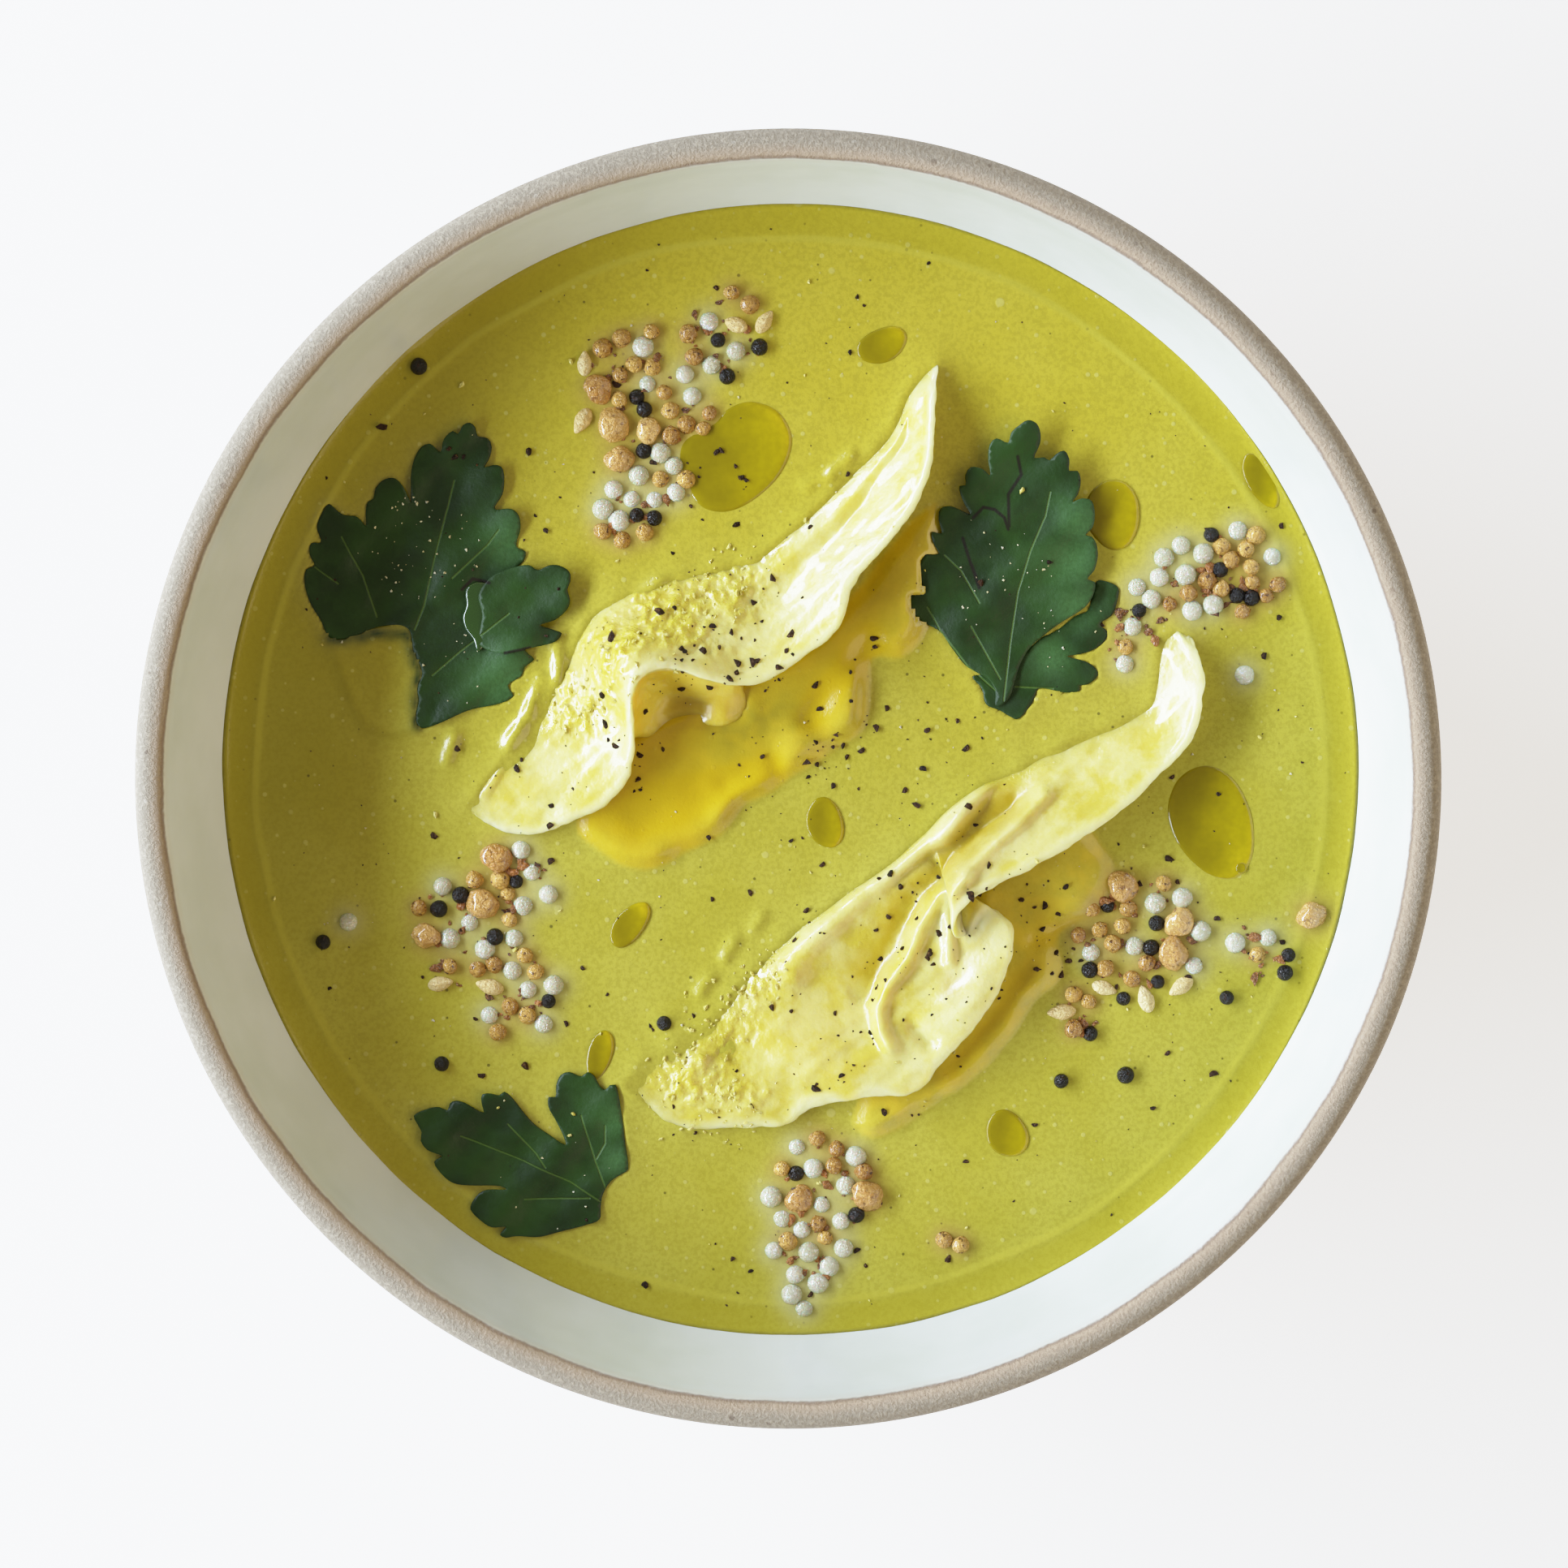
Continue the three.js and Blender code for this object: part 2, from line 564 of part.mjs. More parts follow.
// Each patch is a disc that grains fall into: its middle, radius and how many of each kind.
const patches = [
  { at: [-19.3, 50], radius: 9, lump: 4, pearl: 5, toasted: 14, sesame: 2, mustard: 2 },
  { at: [-18.8, 40.6], radius: 5.6, lump: 0, pearl: 7, toasted: 5, sesame: 0, mustard: 3 },
  { at: [-21.6, 34.4], radius: 3.8, lump: 0, pearl: 2, toasted: 3, sesame: 0, mustard: 3 },
  { at: [-8.2, 58.4], radius: 5.6, lump: 0, pearl: 3, toasted: 3, sesame: 2, mustard: 3 },
  { at: [51.6, 25], radius: 6.2, lump: 0, pearl: 10, toasted: 6, sesame: 1, mustard: 1 },
  { at: [59.2, 27.4], radius: 5.8, lump: 0, pearl: 2, toasted: 9, sesame: 3, mustard: 4 },
  { at: [45.4, 18.6], radius: 4.2, lump: 0, pearl: 4, toasted: 4, sesame: 0, mustard: 1 },
  { at: [-43.4, -21.4], radius: 8.2, lump: 2, pearl: 5, toasted: 7, sesame: 3, mustard: 3 },
  { at: [-36.4, -14.6], radius: 4.6, lump: 1, pearl: 4, toasted: 1, sesame: 0, mustard: 1 },
  { at: [-36.8, -29.4], radius: 5.8, lump: 0, pearl: 5, toasted: 5, sesame: 2, mustard: 1 },
  { at: [46.8, -22], radius: 8.4, lump: 3, pearl: 6, toasted: 10, sesame: 7, mustard: 7 },
  { at: [39.6, -31.6], radius: 3.6, lump: 0, pearl: 0, toasted: 3, sesame: 1, mustard: 1 },
  { at: [62.8, -23.6], radius: 4.4, lump: 0, pearl: 2, toasted: 1, sesame: 0, mustard: 2 },
  { at: [4.6, -55.8], radius: 7.2, lump: 2, pearl: 9, toasted: 6, sesame: 0, mustard: 2 },
  { at: [2.6, -64], radius: 4.8, lump: 0, pearl: 6, toasted: 4, sesame: 0, mustard: 0 },
  { at: [1.8, -70.2], radius: 2.4, lump: 0, pearl: 4, toasted: 0, sesame: 0, mustard: 0 },
];

// Grains that lie alone: [kind, x, y].
const strays = [
  ["mustard", -62.4, -22.6], ["pearl", -59, -19.9], ["mustard", -46.6, -39], ["toasted", 20.8, -62.6],
  ["toasted", 23, -63.3], ["lump", 69.6, -18.6], ["mustard", 45, -40.2], ["mustard", 36.4, -41],
  ["pearl", 60.4, 13.4], ["mustard", -49, 54.2], ["mustard", 58.4, -29.7], ["mustard", -16.7, -33.4],
];

// Grains drop at random into their patch, the largest first, and lie clear of each other.
function scatterGrains() {
  const random = numberStream(20611);
  const placed = [];
  const isClear = (x, y, size, others) =>
    others.every((one) => Math.hypot(one.x - x, one.y - y) > 0.94 * (one.size + size));
  for (const [kind, x, y] of strays) {
    placed.push({ kind, x, y, turn: x + y, size: grainSizes[kind][0] });
  }
  for (const patch of patches) {
    for (const kind of Object.keys(grainSizes)) {
      const size = grainSizes[kind][0];
      for (let number = 0; number < patch[kind]; number += 1) {
        for (let attempt = 0; attempt < 60; attempt += 1) {
          const far = patch.radius * Math.sqrt(random());
          const angle = 2 * Math.PI * random();
          const x = patch.at[0] + far * Math.cos(angle);
          const y = patch.at[1] + far * Math.sin(angle);
          if (isClear(x, y, size, placed)) {
            placed.push({ kind, x, y, turn: angle * 3, size });
            break;
          }
        }
      }
    }
  }
  return placed;
}

function makeGrain(grain) {
  const [long, wide, high] = grainSizes[grain.kind];
  const geometry = new THREE.SphereGeometry(1, 6, 4);
  geometry.rotateX(Math.PI / 2);
  geometry.scale(long, wide, high);
  geometry.rotateZ(grain.turn);
  geometry.translate(grain.x, grain.y, soupLevel);
  return toSolid(geometry);
}

function insideOutline(outline, x, y) {
  let inside = false;
  outline.forEach((one, index) => {
    const other = outline[(index + outline.length - 1) % outline.length];
    const crosses = one.y > y !== other.y > y;
    if (crosses && x < ((other.x - one.x) * (y - one.y)) / (other.y - one.y) + one.x) {
      inside = !inside;
    }
  });
  return inside;
}

// A grain is left out where it would touch a leaf: its middle and eight points round it are tried.
function touchesOutline(outline, grain, margin) {
  const reach = grain.size + margin;
  for (let step = 0; step < 8; step += 1) {
    const angle = (step * Math.PI) / 4;
    if (insideOutline(outline, grain.x + reach * Math.cos(angle), grain.y + reach * Math.sin(angle))) {
      return true;
    }
  }
  return insideOutline(outline, grain.x, grain.y);
}

// ---------------------------------------------------------------- soup
function makeSoup(doughSolids) {
  const wall = insideWall.filter(([, height]) => height <= soupLevel).reverse();
  const profile = wall.map(([radius, height]) => [Math.max(radius - gap * 1.1, 0), height + gap]);
  profile[profile.length - 1][1] = soupLevel;
  profile.push([0, soupLevel]);
  let soup = toSolid(turned(profile));
  for (const dough of doughSolids) {
    soup = soup.subtract(toSolid(grown(dough, gap)));
  }
  soup = largestBody(soup);
  const outlines = leaves.map((leaf) => leafOutline(leaf.teeth));
  const doughRoom = doughSolids.map((dough) => toSolid(grown(dough, 2 * gap)));
  const grains = scatterGrains()
    .filter((grain) => !outlines.some((outline) => touchesOutline(outline, grain, gap)))
    .map(makeGrain)
    .filter((grain) => doughRoom.every((room) => room.intersect(grain).isEmpty()));
  return toGeometry(largestBody(soup.add(wasm.Manifold.union(grains))));
}

// ---------------------------------------------------------------- the whole bowl
const dish = new THREE.Group();
const doughBodies = dumplings.map(makeDumpling);
dish.add(namedMesh("bowl", makeBowl(), 0xd9ddd2, 0.35));
dish.add(namedMesh("soup", makeSoup(doughBodies), 0xb7b03c, 0.3));
dumplings.forEach((form, index) => {
  dish.add(namedMesh(form.name, doughBodies[index], 0xe6e3a6, 0.4));
});
for (const leaf of leaves) {
  dish.add(namedMesh(leaf.name, makeLeaf(leaf), 0x2c4a22, 0.35));
}

export default dish;
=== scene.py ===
# %% [markdown]
# # A bowl of asparagus soup with two dumplings
# The object is a footed stoneware bowl, filled with thick yellow-green soup. Two half-moon dumplings lean
# in it, and parsley, oil drops, pearls, toasted grains and seeds lie on top.
# The solids come first as a fixed frame in metres. Everything below is dressed on them, so no piece needs
# fitting afterwards. Sizes are written in millimetres and multiplied by mm where they reach Blender.
# %% Load the frame
import math
import bpy
import numpy as np
from mathutils import Matrix, Vector, geometry, kdtree, noise
from mathutils.bvhtree import BVHTree


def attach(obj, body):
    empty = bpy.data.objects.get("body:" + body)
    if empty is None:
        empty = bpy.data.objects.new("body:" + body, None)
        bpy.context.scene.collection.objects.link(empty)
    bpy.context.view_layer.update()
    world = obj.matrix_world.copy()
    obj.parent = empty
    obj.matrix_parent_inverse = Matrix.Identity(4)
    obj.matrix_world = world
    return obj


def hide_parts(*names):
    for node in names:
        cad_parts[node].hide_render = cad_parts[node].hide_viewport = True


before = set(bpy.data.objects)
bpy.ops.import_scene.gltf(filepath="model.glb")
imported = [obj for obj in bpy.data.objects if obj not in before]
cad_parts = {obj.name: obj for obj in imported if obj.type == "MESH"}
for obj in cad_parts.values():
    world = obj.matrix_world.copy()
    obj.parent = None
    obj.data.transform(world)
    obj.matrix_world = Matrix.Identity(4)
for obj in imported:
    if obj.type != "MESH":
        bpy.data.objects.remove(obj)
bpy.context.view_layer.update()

mm = 0.001
print("nodes:", sorted(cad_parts))

# %% [markdown]
# ## Camera
# The bowl is seen from almost straight above, a little from the far side, with a long lens: its soup
# circle sits 18 mm below the rim and appears shifted and only slightly smaller. A camera that looks
# straight down has no natural "up", so its three axes are worked out by hand from the far side of the
# table, which is the top of the picture.
# %% Camera
camera_place = Vector((16, 62, 710)) * mm
rim_centre = Vector((0, 0, 61)) * mm
lens = 115.5
picture_side = 1932
rim_offset = (2.2, -4.5)  # how far right and up of the picture's middle the rim's centre lies, in pixels

camera_data = bpy.data.cameras.new("camera")
camera_data.lens = lens
camera_data.shift_x = -rim_offset[0] / picture_side
camera_data.shift_y = -rim_offset[1] / picture_side
camera = bpy.data.objects.new("camera", camera_data)
forward = (rim_centre - camera_place).normalized()
rightward = forward.cross(Vector((0, 1, 0))).normalized()
upward = rightward.cross(forward)
camera.matrix_world = Matrix.Translation(camera_place) @ Matrix(
    (rightward, upward, -forward)).transposed().to_4x4()
bpy.context.scene.collection.objects.link(camera)
bpy.context.scene.camera = camera
print("camera is", round(camera_place.length, 3), "m from the origin")

# %% [markdown]
# ## Light
# One soft window stands on the left. Its height was read from the shadow that the rim throws on the soup:
# the shade is full within 20 mm of the left edge of the soup and gone beyond 37 mm, under a rim that is
# 18 mm higher and 7 mm further out. That puts the window's light between 22 and 34 degrees. The window is
# cool. What fills its shadows is warm and comes from the right, where a room's wall throws light
# back: the shaded left wall of the bowl faces it and is bright, while the soup below stays dark and golden.
# %% Light
sky_tint = (1.0, 0.9, 0.74, 1)
sky_strength = 0.225
# name: (where it stands seen from above, degrees up, metres away, size, watts, tint)
lights = {
    "window": ((-0.99, 0.09), 28.5, 1.25, (2.1, 0.26), 58, (0.72, 0.83, 1.0)),
    "room": ((0.95, -0.2), 40, 1.5, (2.6, 0.8), 12, (1.0, 0.82, 0.58))}


def soft_light(name, side, degrees, far, size, power, tint):
    """A rectangular light that faces the bowl from one side."""
    data = bpy.data.lights.new(name, "AREA")
    data.shape = "RECTANGLE"
    data.size, data.size_y = size
    data.energy = power
    data.color = tint
    light = bpy.data.objects.new(name, data)
    rise = math.radians(degrees)
    outward = math.cos(rise) * Vector((*side, 0)).normalized()
    light.location = far * (outward + math.sin(rise) * Vector((0, 0, 1)))
    light.rotation_euler = (-light.location).to_track_quat("-Z", "Y").to_euler()
    bpy.context.scene.collection.objects.link(light)
    print(name, "at", [round(v, 2) for v in light.location])


for name, settings in lights.items():
    soft_light(name, *settings)
sky = bpy.data.worlds.new("sky")
sky.use_nodes = True
sky.node_tree.nodes["Background"].inputs["Color"].default_value = sky_tint
sky.node_tree.nodes["Background"].inputs["Strength"].default_value = sky_strength
bpy.context.scene.world = sky

# %% [markdown]
# A camera doesn't cut bright things off at white, it eases towards it. The lit wall and the pale dough
# need that ease, or they turn into flat white paper. So the plain Standard view gets a tone curve: straight
# up to the middle, then bending over.
# %% Tone curve
tone_bend = [(0.0, 0.0), (0.45, 0.45), (0.8, 0.71), (1.2, 0.86), (2.0, 0.955), (4.0, 1.0)]  # light in, out

view = bpy.context.scene.view_settings
view.view_transform = "Standard"
view.use_curve_mapping = True
view.curve_mapping.clip_max_x = tone_bend[-1][0]
tone = view.curve_mapping.curves[3]
tone.points[0].location = tone_bend[0]
tone.points[1].location = tone_bend[-1]
for light_in, light_out in tone_bend[1:-1]:
    tone.points.new(light_in, light_out)
view.curve_mapping.update()
print("tone curve has", len(tone.points), "points")

# %% [markdown]
# ## Small tools for shader trees
# A shader tree is a drawing of boxes and wires. These helpers add one box each to the tree that is being
# drawn, and wires add and multiply like numbers, so a finish reads like a sum.
# Colours are written as the 0 to 255 numbers of a colour picker and made linear here, because shaders
# count light and not screen values.
# %% Shader helpers
drawn = None  # the tree that is being drawn


def rgb(red, green, blue):
    """A linear colour from screen values."""
    def linear(value):
        part = value / 255
        return part / 12.92 if part <= 0.04045 else ((part + 0.055) / 1.055) ** 2.4
    return (linear(red), linear(green), linear(blue), 1)


class Wire:
    """The end of a wire. Every sum of wires is a box of its own."""
    def __init__(self, end):
        self.end = end

    def __add__(self, other):
        return maths("ADD", self, other)

    def __sub__(self, other):
        return maths("SUBTRACT", self, other)

    def __mul__(self, other):
        return maths("MULTIPLY", self, other)

    def __truediv__(self, other):
        return maths("DIVIDE", self, other)


def plug(value, socket):
    """Leads a wire to a socket, or sets the socket to a plain number or colour."""
    if isinstance(value, Wire):
        drawn.links.new(value.end, socket)
    else:
        socket.default_value = value


def put(kind, inputs=None, **settings):
    """Adds a box, sets its options and inputs, and gives its outputs as wires by name and number."""
    node = drawn.nodes.new(kind)
    for key, value in settings.items():
        setattr(node, key, value)
    for key, value in (inputs or {}).items():
        plug(value, node.inputs[key])
    return {key: Wire(end) for number, end in enumerate(node.outputs) for key in (end.name, number)}


def maths(operation, first, second=0.0):
    return put("ShaderNodeMath", {0: first, 1: second}, operation=operation)[0]


def blend(share, below, above):
    """below where share is 0, above where it is 1."""
    return put("ShaderNodeMix", {0: share, 6: below, 7: above}, data_type="RGBA")[2]


def layered(colour, *layers):
    """Lays tints over a colour; a layer is its share and its tint."""
    for share, tint in layers:
        colour = blend(share, colour, tint)
    return colour


def between(value, start, end, low=0.0, high=1.0):
    """Eases from low to high while value goes from start to end."""
    inputs = {"Value": value, "From Min": start, "From Max": end, "To Min": low, "To Max": high}
    return put("ShaderNodeMapRange", inputs, interpolation_type="SMOOTHSTEP")[0]


def place_in():
    return put("ShaderNodeTexCoord")["Object"]


def painted(name):
    """A value that was painted on the piece's points."""
    return put("ShaderNodeAttribute", attribute_name=name)["Fac"]


def clouds(size, detail=2.0, rough=0.5):
    """Soft noise whose spots are about size millimetres across."""
    inputs = {"Vector": place_in(), "Scale": 1 / (size * mm), "Detail": detail, "Roughness": rough}
    return put("ShaderNodeTexNoise", inputs)[0]


def group_of(name, inputs=None):
    return put("ShaderNodeGroup", inputs, node_tree=bpy.data.node_groups[name])


def new_group(name, inputs, outputs):
    """Starts a node group with number inputs, and gives these as wires, and its output box."""
    global drawn
    drawn = bpy.data.node_groups.new(name, "ShaderNodeTree")
    for label, value in inputs.items():
        socket = drawn.interface.new_socket(label, in_out="INPUT", socket_type="NodeSocketFloat")
        socket.default_value = value
    for label, kind in outputs.items():
        drawn.interface.new_socket(label, in_out="OUTPUT", socket_type=kind)
    return put("NodeGroupInput"), drawn.nodes.new("NodeGroupOutput")


def dress(shader, **values):
    """Gives a shader's sockets their wires, or what is the same all over the surface."""
    for key, value in values.items():
        plug(value, shader.inputs[key.replace("_", " ").title().replace("Ior", "IOR")])


def new_material(name, **fixed):
    """Starts a material, with what is the same all over, and gives it and its Principled shader."""
    global drawn
    material = bpy.data.materials.new(name)
    material.use_nodes = True
    drawn = material.node_tree
    shader = drawn.nodes["Principled BSDF"]
    dress(shader, **fixed)
    return material, shader


def bump(height, depth):
    """The normal of a surface that is raised by height times depth millimetres."""
    return put("ShaderNodeBump", {"Height": height, "Distance": depth * mm, "Strength": 1.0})["Normal"]


print("shader helpers ready")

# %% [markdown]
# ## Effects that several finishes share
# Specks are the same everywhere: iron spots in clay, fibres and bits of herb in soup. A Voronoi texture
# splits space into cells, a random number picks a share of the cells, and a small ball in each picked cell
# is the speck. As a node group it is built once and used with different sizes.
# %% Specks
def make_specks():
    inputs = {"Cell": 1.0, "Radius": 0.3, "Share": 0.2, "Soft": 0.1}
    ins, end = new_group("specks", inputs, {"Mask": "NodeSocketFloat"})
    scale = maths("DIVIDE", 1000.0, ins["Cell"])
    cells = put("ShaderNodeTexVoronoi", {"Vector": place_in(), "Scale": scale})
    picked = put("ShaderNodeSeparateColor", {0: cells["Color"]})
    chosen = maths("LESS_THAN", picked[0], ins["Share"])
    size = ins["Radius"] * picked[1]
    ball = between(cells["Distance"], size, size + ins["Soft"], 1.0, 0.0)
    plug(chosen * ball, end.inputs[0])


def specks(cell, radius, share, soft):
    return group_of("specks", {"Cell": cell, "Radius": radius, "Share": share, "Soft": soft})["Mask"]


make_specks()
print("group:", bpy.data.node_groups["specks"].name)

# %% [markdown]
# The soup's own colour is a second shared effect, because soup also coats the dough. Blended asparagus is a
# pale yellow-green with a fine grain, lighter fibres and a few dark specks. It is more golden on the far
# side. Towards the left, most of all on the far side, it is painted darker: painted shade that deepens the
# left wall's shadow.
# %% Soup colour
soup_light = rgb(179, 171, 64)
soup_deep = rgb(172, 163, 53)
soup_shade = rgb(140, 130, 34)
soup_golden = rgb(193, 174, 42)
fibre_pale = rgb(196, 190, 104)
herb_dark = rgb(72, 66, 24)


def make_soup_colour():
    outputs = {"Color": "NodeSocketColor", "Height": "NodeSocketFloat"}
    ins, end = new_group("soup_colour", {"Grain": 1.0}, outputs)
    axes = put("ShaderNodeSeparateXYZ", {0: place_in()})
    golden = between(axes["Y"], -0.02, 0.075, 0.0, 0.55)
    # painted shade: the soup is darkened towards the left and the far side, deepening the left wall's shadow
    painted_left_shade = between(axes["X"] - axes["Y"] * 0.45, -0.070, -0.045, 0.5, 0.0)
    grain = clouds(0.55, 3, 0.65)
    fibres = maths("MAXIMUM", specks(1.3, 0.2, 0.4, 0.12), specks(4.5, 0.12, 0.3, 0.05)) * 0.55
    colour = layered(soup_deep, (between(clouds(14, 3), 0.3, 0.7), soup_light), (golden, soup_golden),
                     (painted_left_shade, soup_shade), (between(grain, 0.36, 0.6, 0.34, 0.0), soup_shade),
                     (fibres, fibre_pale), (specks(1.7, 0.1, 0.3, 0.07) * 0.75, herb_dark))
    plug(colour, end.inputs["Color"])
    plug(grain * ins["Grain"] + fibres, end.inputs["Height"])


make_soup_colour()
print("group:", bpy.data.node_groups["soup_colour"].name)

# %% [markdown]
# Fine lines are the third shared effect: the veins of a leaf and the slits between its teeth. A node group
# measures the distance to one straight stroke, so a line stays thin and sharp at any zoom, which points on a
# mesh can't give.
# %% Line strokes
def make_line_stroke():
    inputs = {"X0": 0.0, "Y0": 0.0, "X1": 1.0, "Y1": 1.0, "Width": 0.2}
    ins, end = new_group("line_stroke", inputs, {"Line": "NodeSocketFloat"})
    axes = put("ShaderNodeSeparateXYZ", {0: place_in()})
    x = axes["X"] * 1000.0 - ins["X0"]
    y = axes["Y"] * 1000.0 - ins["Y0"]
    run_x = ins["X1"] - ins["X0"]
    run_y = ins["Y1"] - ins["Y0"]
    length = maths("SQRT", run_x * run_x + run_y * run_y)
    along = (x * run_x + y * run_y) / length
    away = (x * run_y - y * run_x) / length
    outside = maths("MAXIMUM", maths("MAXIMUM", along - length, along * -1.0), 0.0)
    distance = maths("SQRT", away * away + outside * outside)
    plug(between(distance, ins["Width"] * 0.25, ins["Width"], 1.0, 0.0), end.inputs["Line"])


def line_mask(lines, width):
    """1 on every stretch of some lines of corners, 0 beside them."""
    mask = 0.0
    for line in lines:
        for (x0, y0), (x1, y1) in zip(line[:-1], line[1:]):
            stroke = group_of("line_stroke", {"X0": x0, "Y0": y0, "X1": x1, "Y1": y1, "Width": width})
            mask = maths("MAXIMUM", mask, stroke["Line"])
    return mask


make_line_stroke()
print("group:", bpy.data.node_groups["line_stroke"].name)

# %% [markdown]
# ## Small tools for meshes
# Every operator acts on all that is selected, so each piece starts with an empty selection. A smooth line
# through a few measured corners gives profiles and outlines with as many points as the eye needs.
# %% Mesh helpers
def start_piece():
    bpy.ops.object.select_all(action="DESELECT")


def select_only(piece):
    start_piece()
    bpy.context.view_layer.objects.active = piece
    piece.select_set(True)


def named(name):
    """Names the object that an operator has just made."""
    piece = bpy.context.object
    piece.name = piece.data.name = name
    return piece


def linked(name, mesh):
    """An object for a mesh that was made without an operator."""
    piece = bpy.data.objects.new(name, mesh)
    bpy.context.scene.collection.objects.link(piece)
    return piece


def into_edit(piece):
    select_only(piece)
    bpy.ops.object.mode_set(mode="EDIT")
    bpy.ops.mesh.select_all(action="SELECT")


def out_of_edit():
    bpy.ops.object.mode_set(mode="OBJECT")


def apply_modifier(piece, kind, **settings):
    """Adds a modifier, sets it and applies it at once."""
    select_only(piece)
    modifier = piece.modifiers.new(kind.lower(), kind)
    for key, value in settings.items():
        setattr(modifier, key, value)
    bpy.ops.object.modifier_apply(modifier=modifier.name)


def joined(name, pieces):
    start_piece()
    for piece in pieces:
        piece.select_set(True)
    bpy.context.view_layer.objects.active = pieces[0]
    if len(pieces) > 1:
        bpy.ops.object.join()
    return named(name)


def rows_of(layer, field):
    flat = np.empty(len(layer) * 3)
    layer.foreach_get(field, flat)
    return flat.reshape(-1, 3)


def points_of(piece):
    """The piece's points in millimetres, one row each."""
    return rows_of(piece.data.vertices, "co") / mm


def normals_of(piece):
    return rows_of(piece.data.vertex_normals, "vector")


def set_points(piece, points):
    piece.data.vertices.foreach_set("co", (points * mm).ravel())
    piece.data.update()


def paint(piece, name, values):
    """Stores one number for each point, which a shader reads by its name."""
    layer = piece.data.attributes.new(name, "FLOAT", "POINT")
    layer.data.foreach_set("value", np.asarray(values, dtype=np.float32))


def smooth_line(corners, step, closed=False):
    """Points about a step apart on a smooth curve through the corners."""
    corners = [Vector(corner) for corner in corners]
    last = len(corners) - 1
    line = []
    for span in range(last + closed):
        around = [span + shift for shift in (-1, 0, 1, 2)]
        before, begin, finish, after = [
            corners[place % (last + 1) if closed else min(max(place, 0), last)] for place in around]
        reach = (finish - begin).length
        lead_in = (finish - before) * reach / (reach + (begin - before).length)
        lead_out = (after - begin) * reach / (reach + (after - finish).length)
        pieces = max(1, round(reach / step))
        for number in range(pieces):
            t = number / pieces
            line.append(begin * (2 * t ** 3 - 3 * t ** 2 + 1) + lead_in * (t ** 3 - 2 * t ** 2 + t)
                        + finish * (3 * t ** 2 - 2 * t ** 3) + lead_out * (t ** 3 - t ** 2))
    return line if closed else line + [corners[-1]]


def finish_piece(piece, material, slot, *nodes, flat=False):
    """Its shading, its finish, the body it rides on and the solids it stands for."""
    piece.data.materials.clear()
    piece.data.materials.append(material)
    if flat:
        piece.data.shade_flat()
    else:
        piece.data.shade_smooth()
    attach(piece, "root")
    if nodes:
        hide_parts(*nodes)
    low, high = points_of(piece).min(0).round(1), points_of(piece).max(0).round(1)
    print(piece.name, len(piece.data.polygons), "faces, from", low, "to", high)


def noise_at(points, size, seed=0.0):
    """Soft noise between -1 and 1 at each point, with hills about size millimetres across."""
    shift = Vector((seed, -seed, 2 * seed))
    return np.array([noise.noise(Vector(point) / size + shift) for point in points])


def smoothstep(values, start, end):
    part = np.clip((values - start) / (end - start), 0, 1)
    return part * part * (3 - 2 * part)


print("mesh helpers ready")

# %% [markdown]
# ## The bowl's shape
# A potter turns a bowl, so its whole form is one outline: foot, outer wall, rounded rim and inner wall.
# It could be cut from a sphere or built ring by ring. Spinning the outline round the upright axis is the
# potter's own way, and it keeps every size of the outline. The outline is a circle primitive whose points
# are set on the profile; the edge that runs along the axis is deleted, because spun it would be nothing.
# %% Bowl outline
rim_radius = 85
rim_height = 61
rim_band = 3.8
soup_level = 43
foot_radius = 43.6
glaze_line = (rim_radius - rim_band, rim_height - 0.6)
inside_wall = [glaze_line, (79.6, 55), (77.7, 49), (75.3, soup_level), (71, 34.5), (64, 25.5), (54, 17.5),
               (40, 12), (22, 9.3), (0, 8.6)]
rim_top = [(rim_radius, rim_height - 2.2), (rim_radius - 0.5, rim_height - 0.7),
           (rim_radius - 1.8, rim_height), (rim_radius - 3, rim_height - 0.1)]
outside_wall = [(0, 4.4), (37.2, 4.4), (38.4, 3.2), (38.8, 0), (43.1, 0), (foot_radius, 0.6), (43.8, 4.8),
                (52, 11.4), (63, 19.4), (72, 29), (78, 39.4), (82, 49)]
bowl_outline = np.array(smooth_line(outside_wall + rim_top + inside_wall, 0.9))
bowl_outline[0, 0] = bowl_outline[-1, 0] = 0
bowl_outline[:, 1] = np.clip(bowl_outline[:, 1], 0, rim_height)
bowl_steps = 240
weld = 0.002  # points closer than this are one


def spun(name, outline, steps):
    """Turns an open outline of (radius, height) from axis to axis into a closed piece."""
    start_piece()
    bpy.ops.mesh.primitive_circle_add(vertices=len(outline), radius=1, fill_type="NOTHING")
    piece = named(name)
    set_points(piece, np.array([(radius, 0, height) for radius, height in outline]))
    into_edit(piece)
    bpy.ops.mesh.select_all(action="DESELECT")
    out_of_edit()
    ends = {0, len(outline) - 1}
    for edge in piece.data.edges:
        edge.select = set(edge.vertices) == ends
    bpy.ops.object.mode_set(mode="EDIT")
    bpy.ops.mesh.delete(type="EDGE")
    bpy.ops.mesh.select_all(action="SELECT")
    bpy.ops.mesh.spin(steps=steps, angle=2 * math.pi, center=(0, 0, 0), axis=(0, 0, 1))
    bpy.ops.mesh.select_all(action="SELECT")
    bpy.ops.mesh.remove_doubles(threshold=weld * mm)
    bpy.ops.mesh.normals_make_consistent(inside=False)
    out_of_edit()
    return piece


stoneware_bowl = spun("stoneware_bowl", bowl_outline, bowl_steps)
print("bowl outline has", len(bowl_outline), "points")

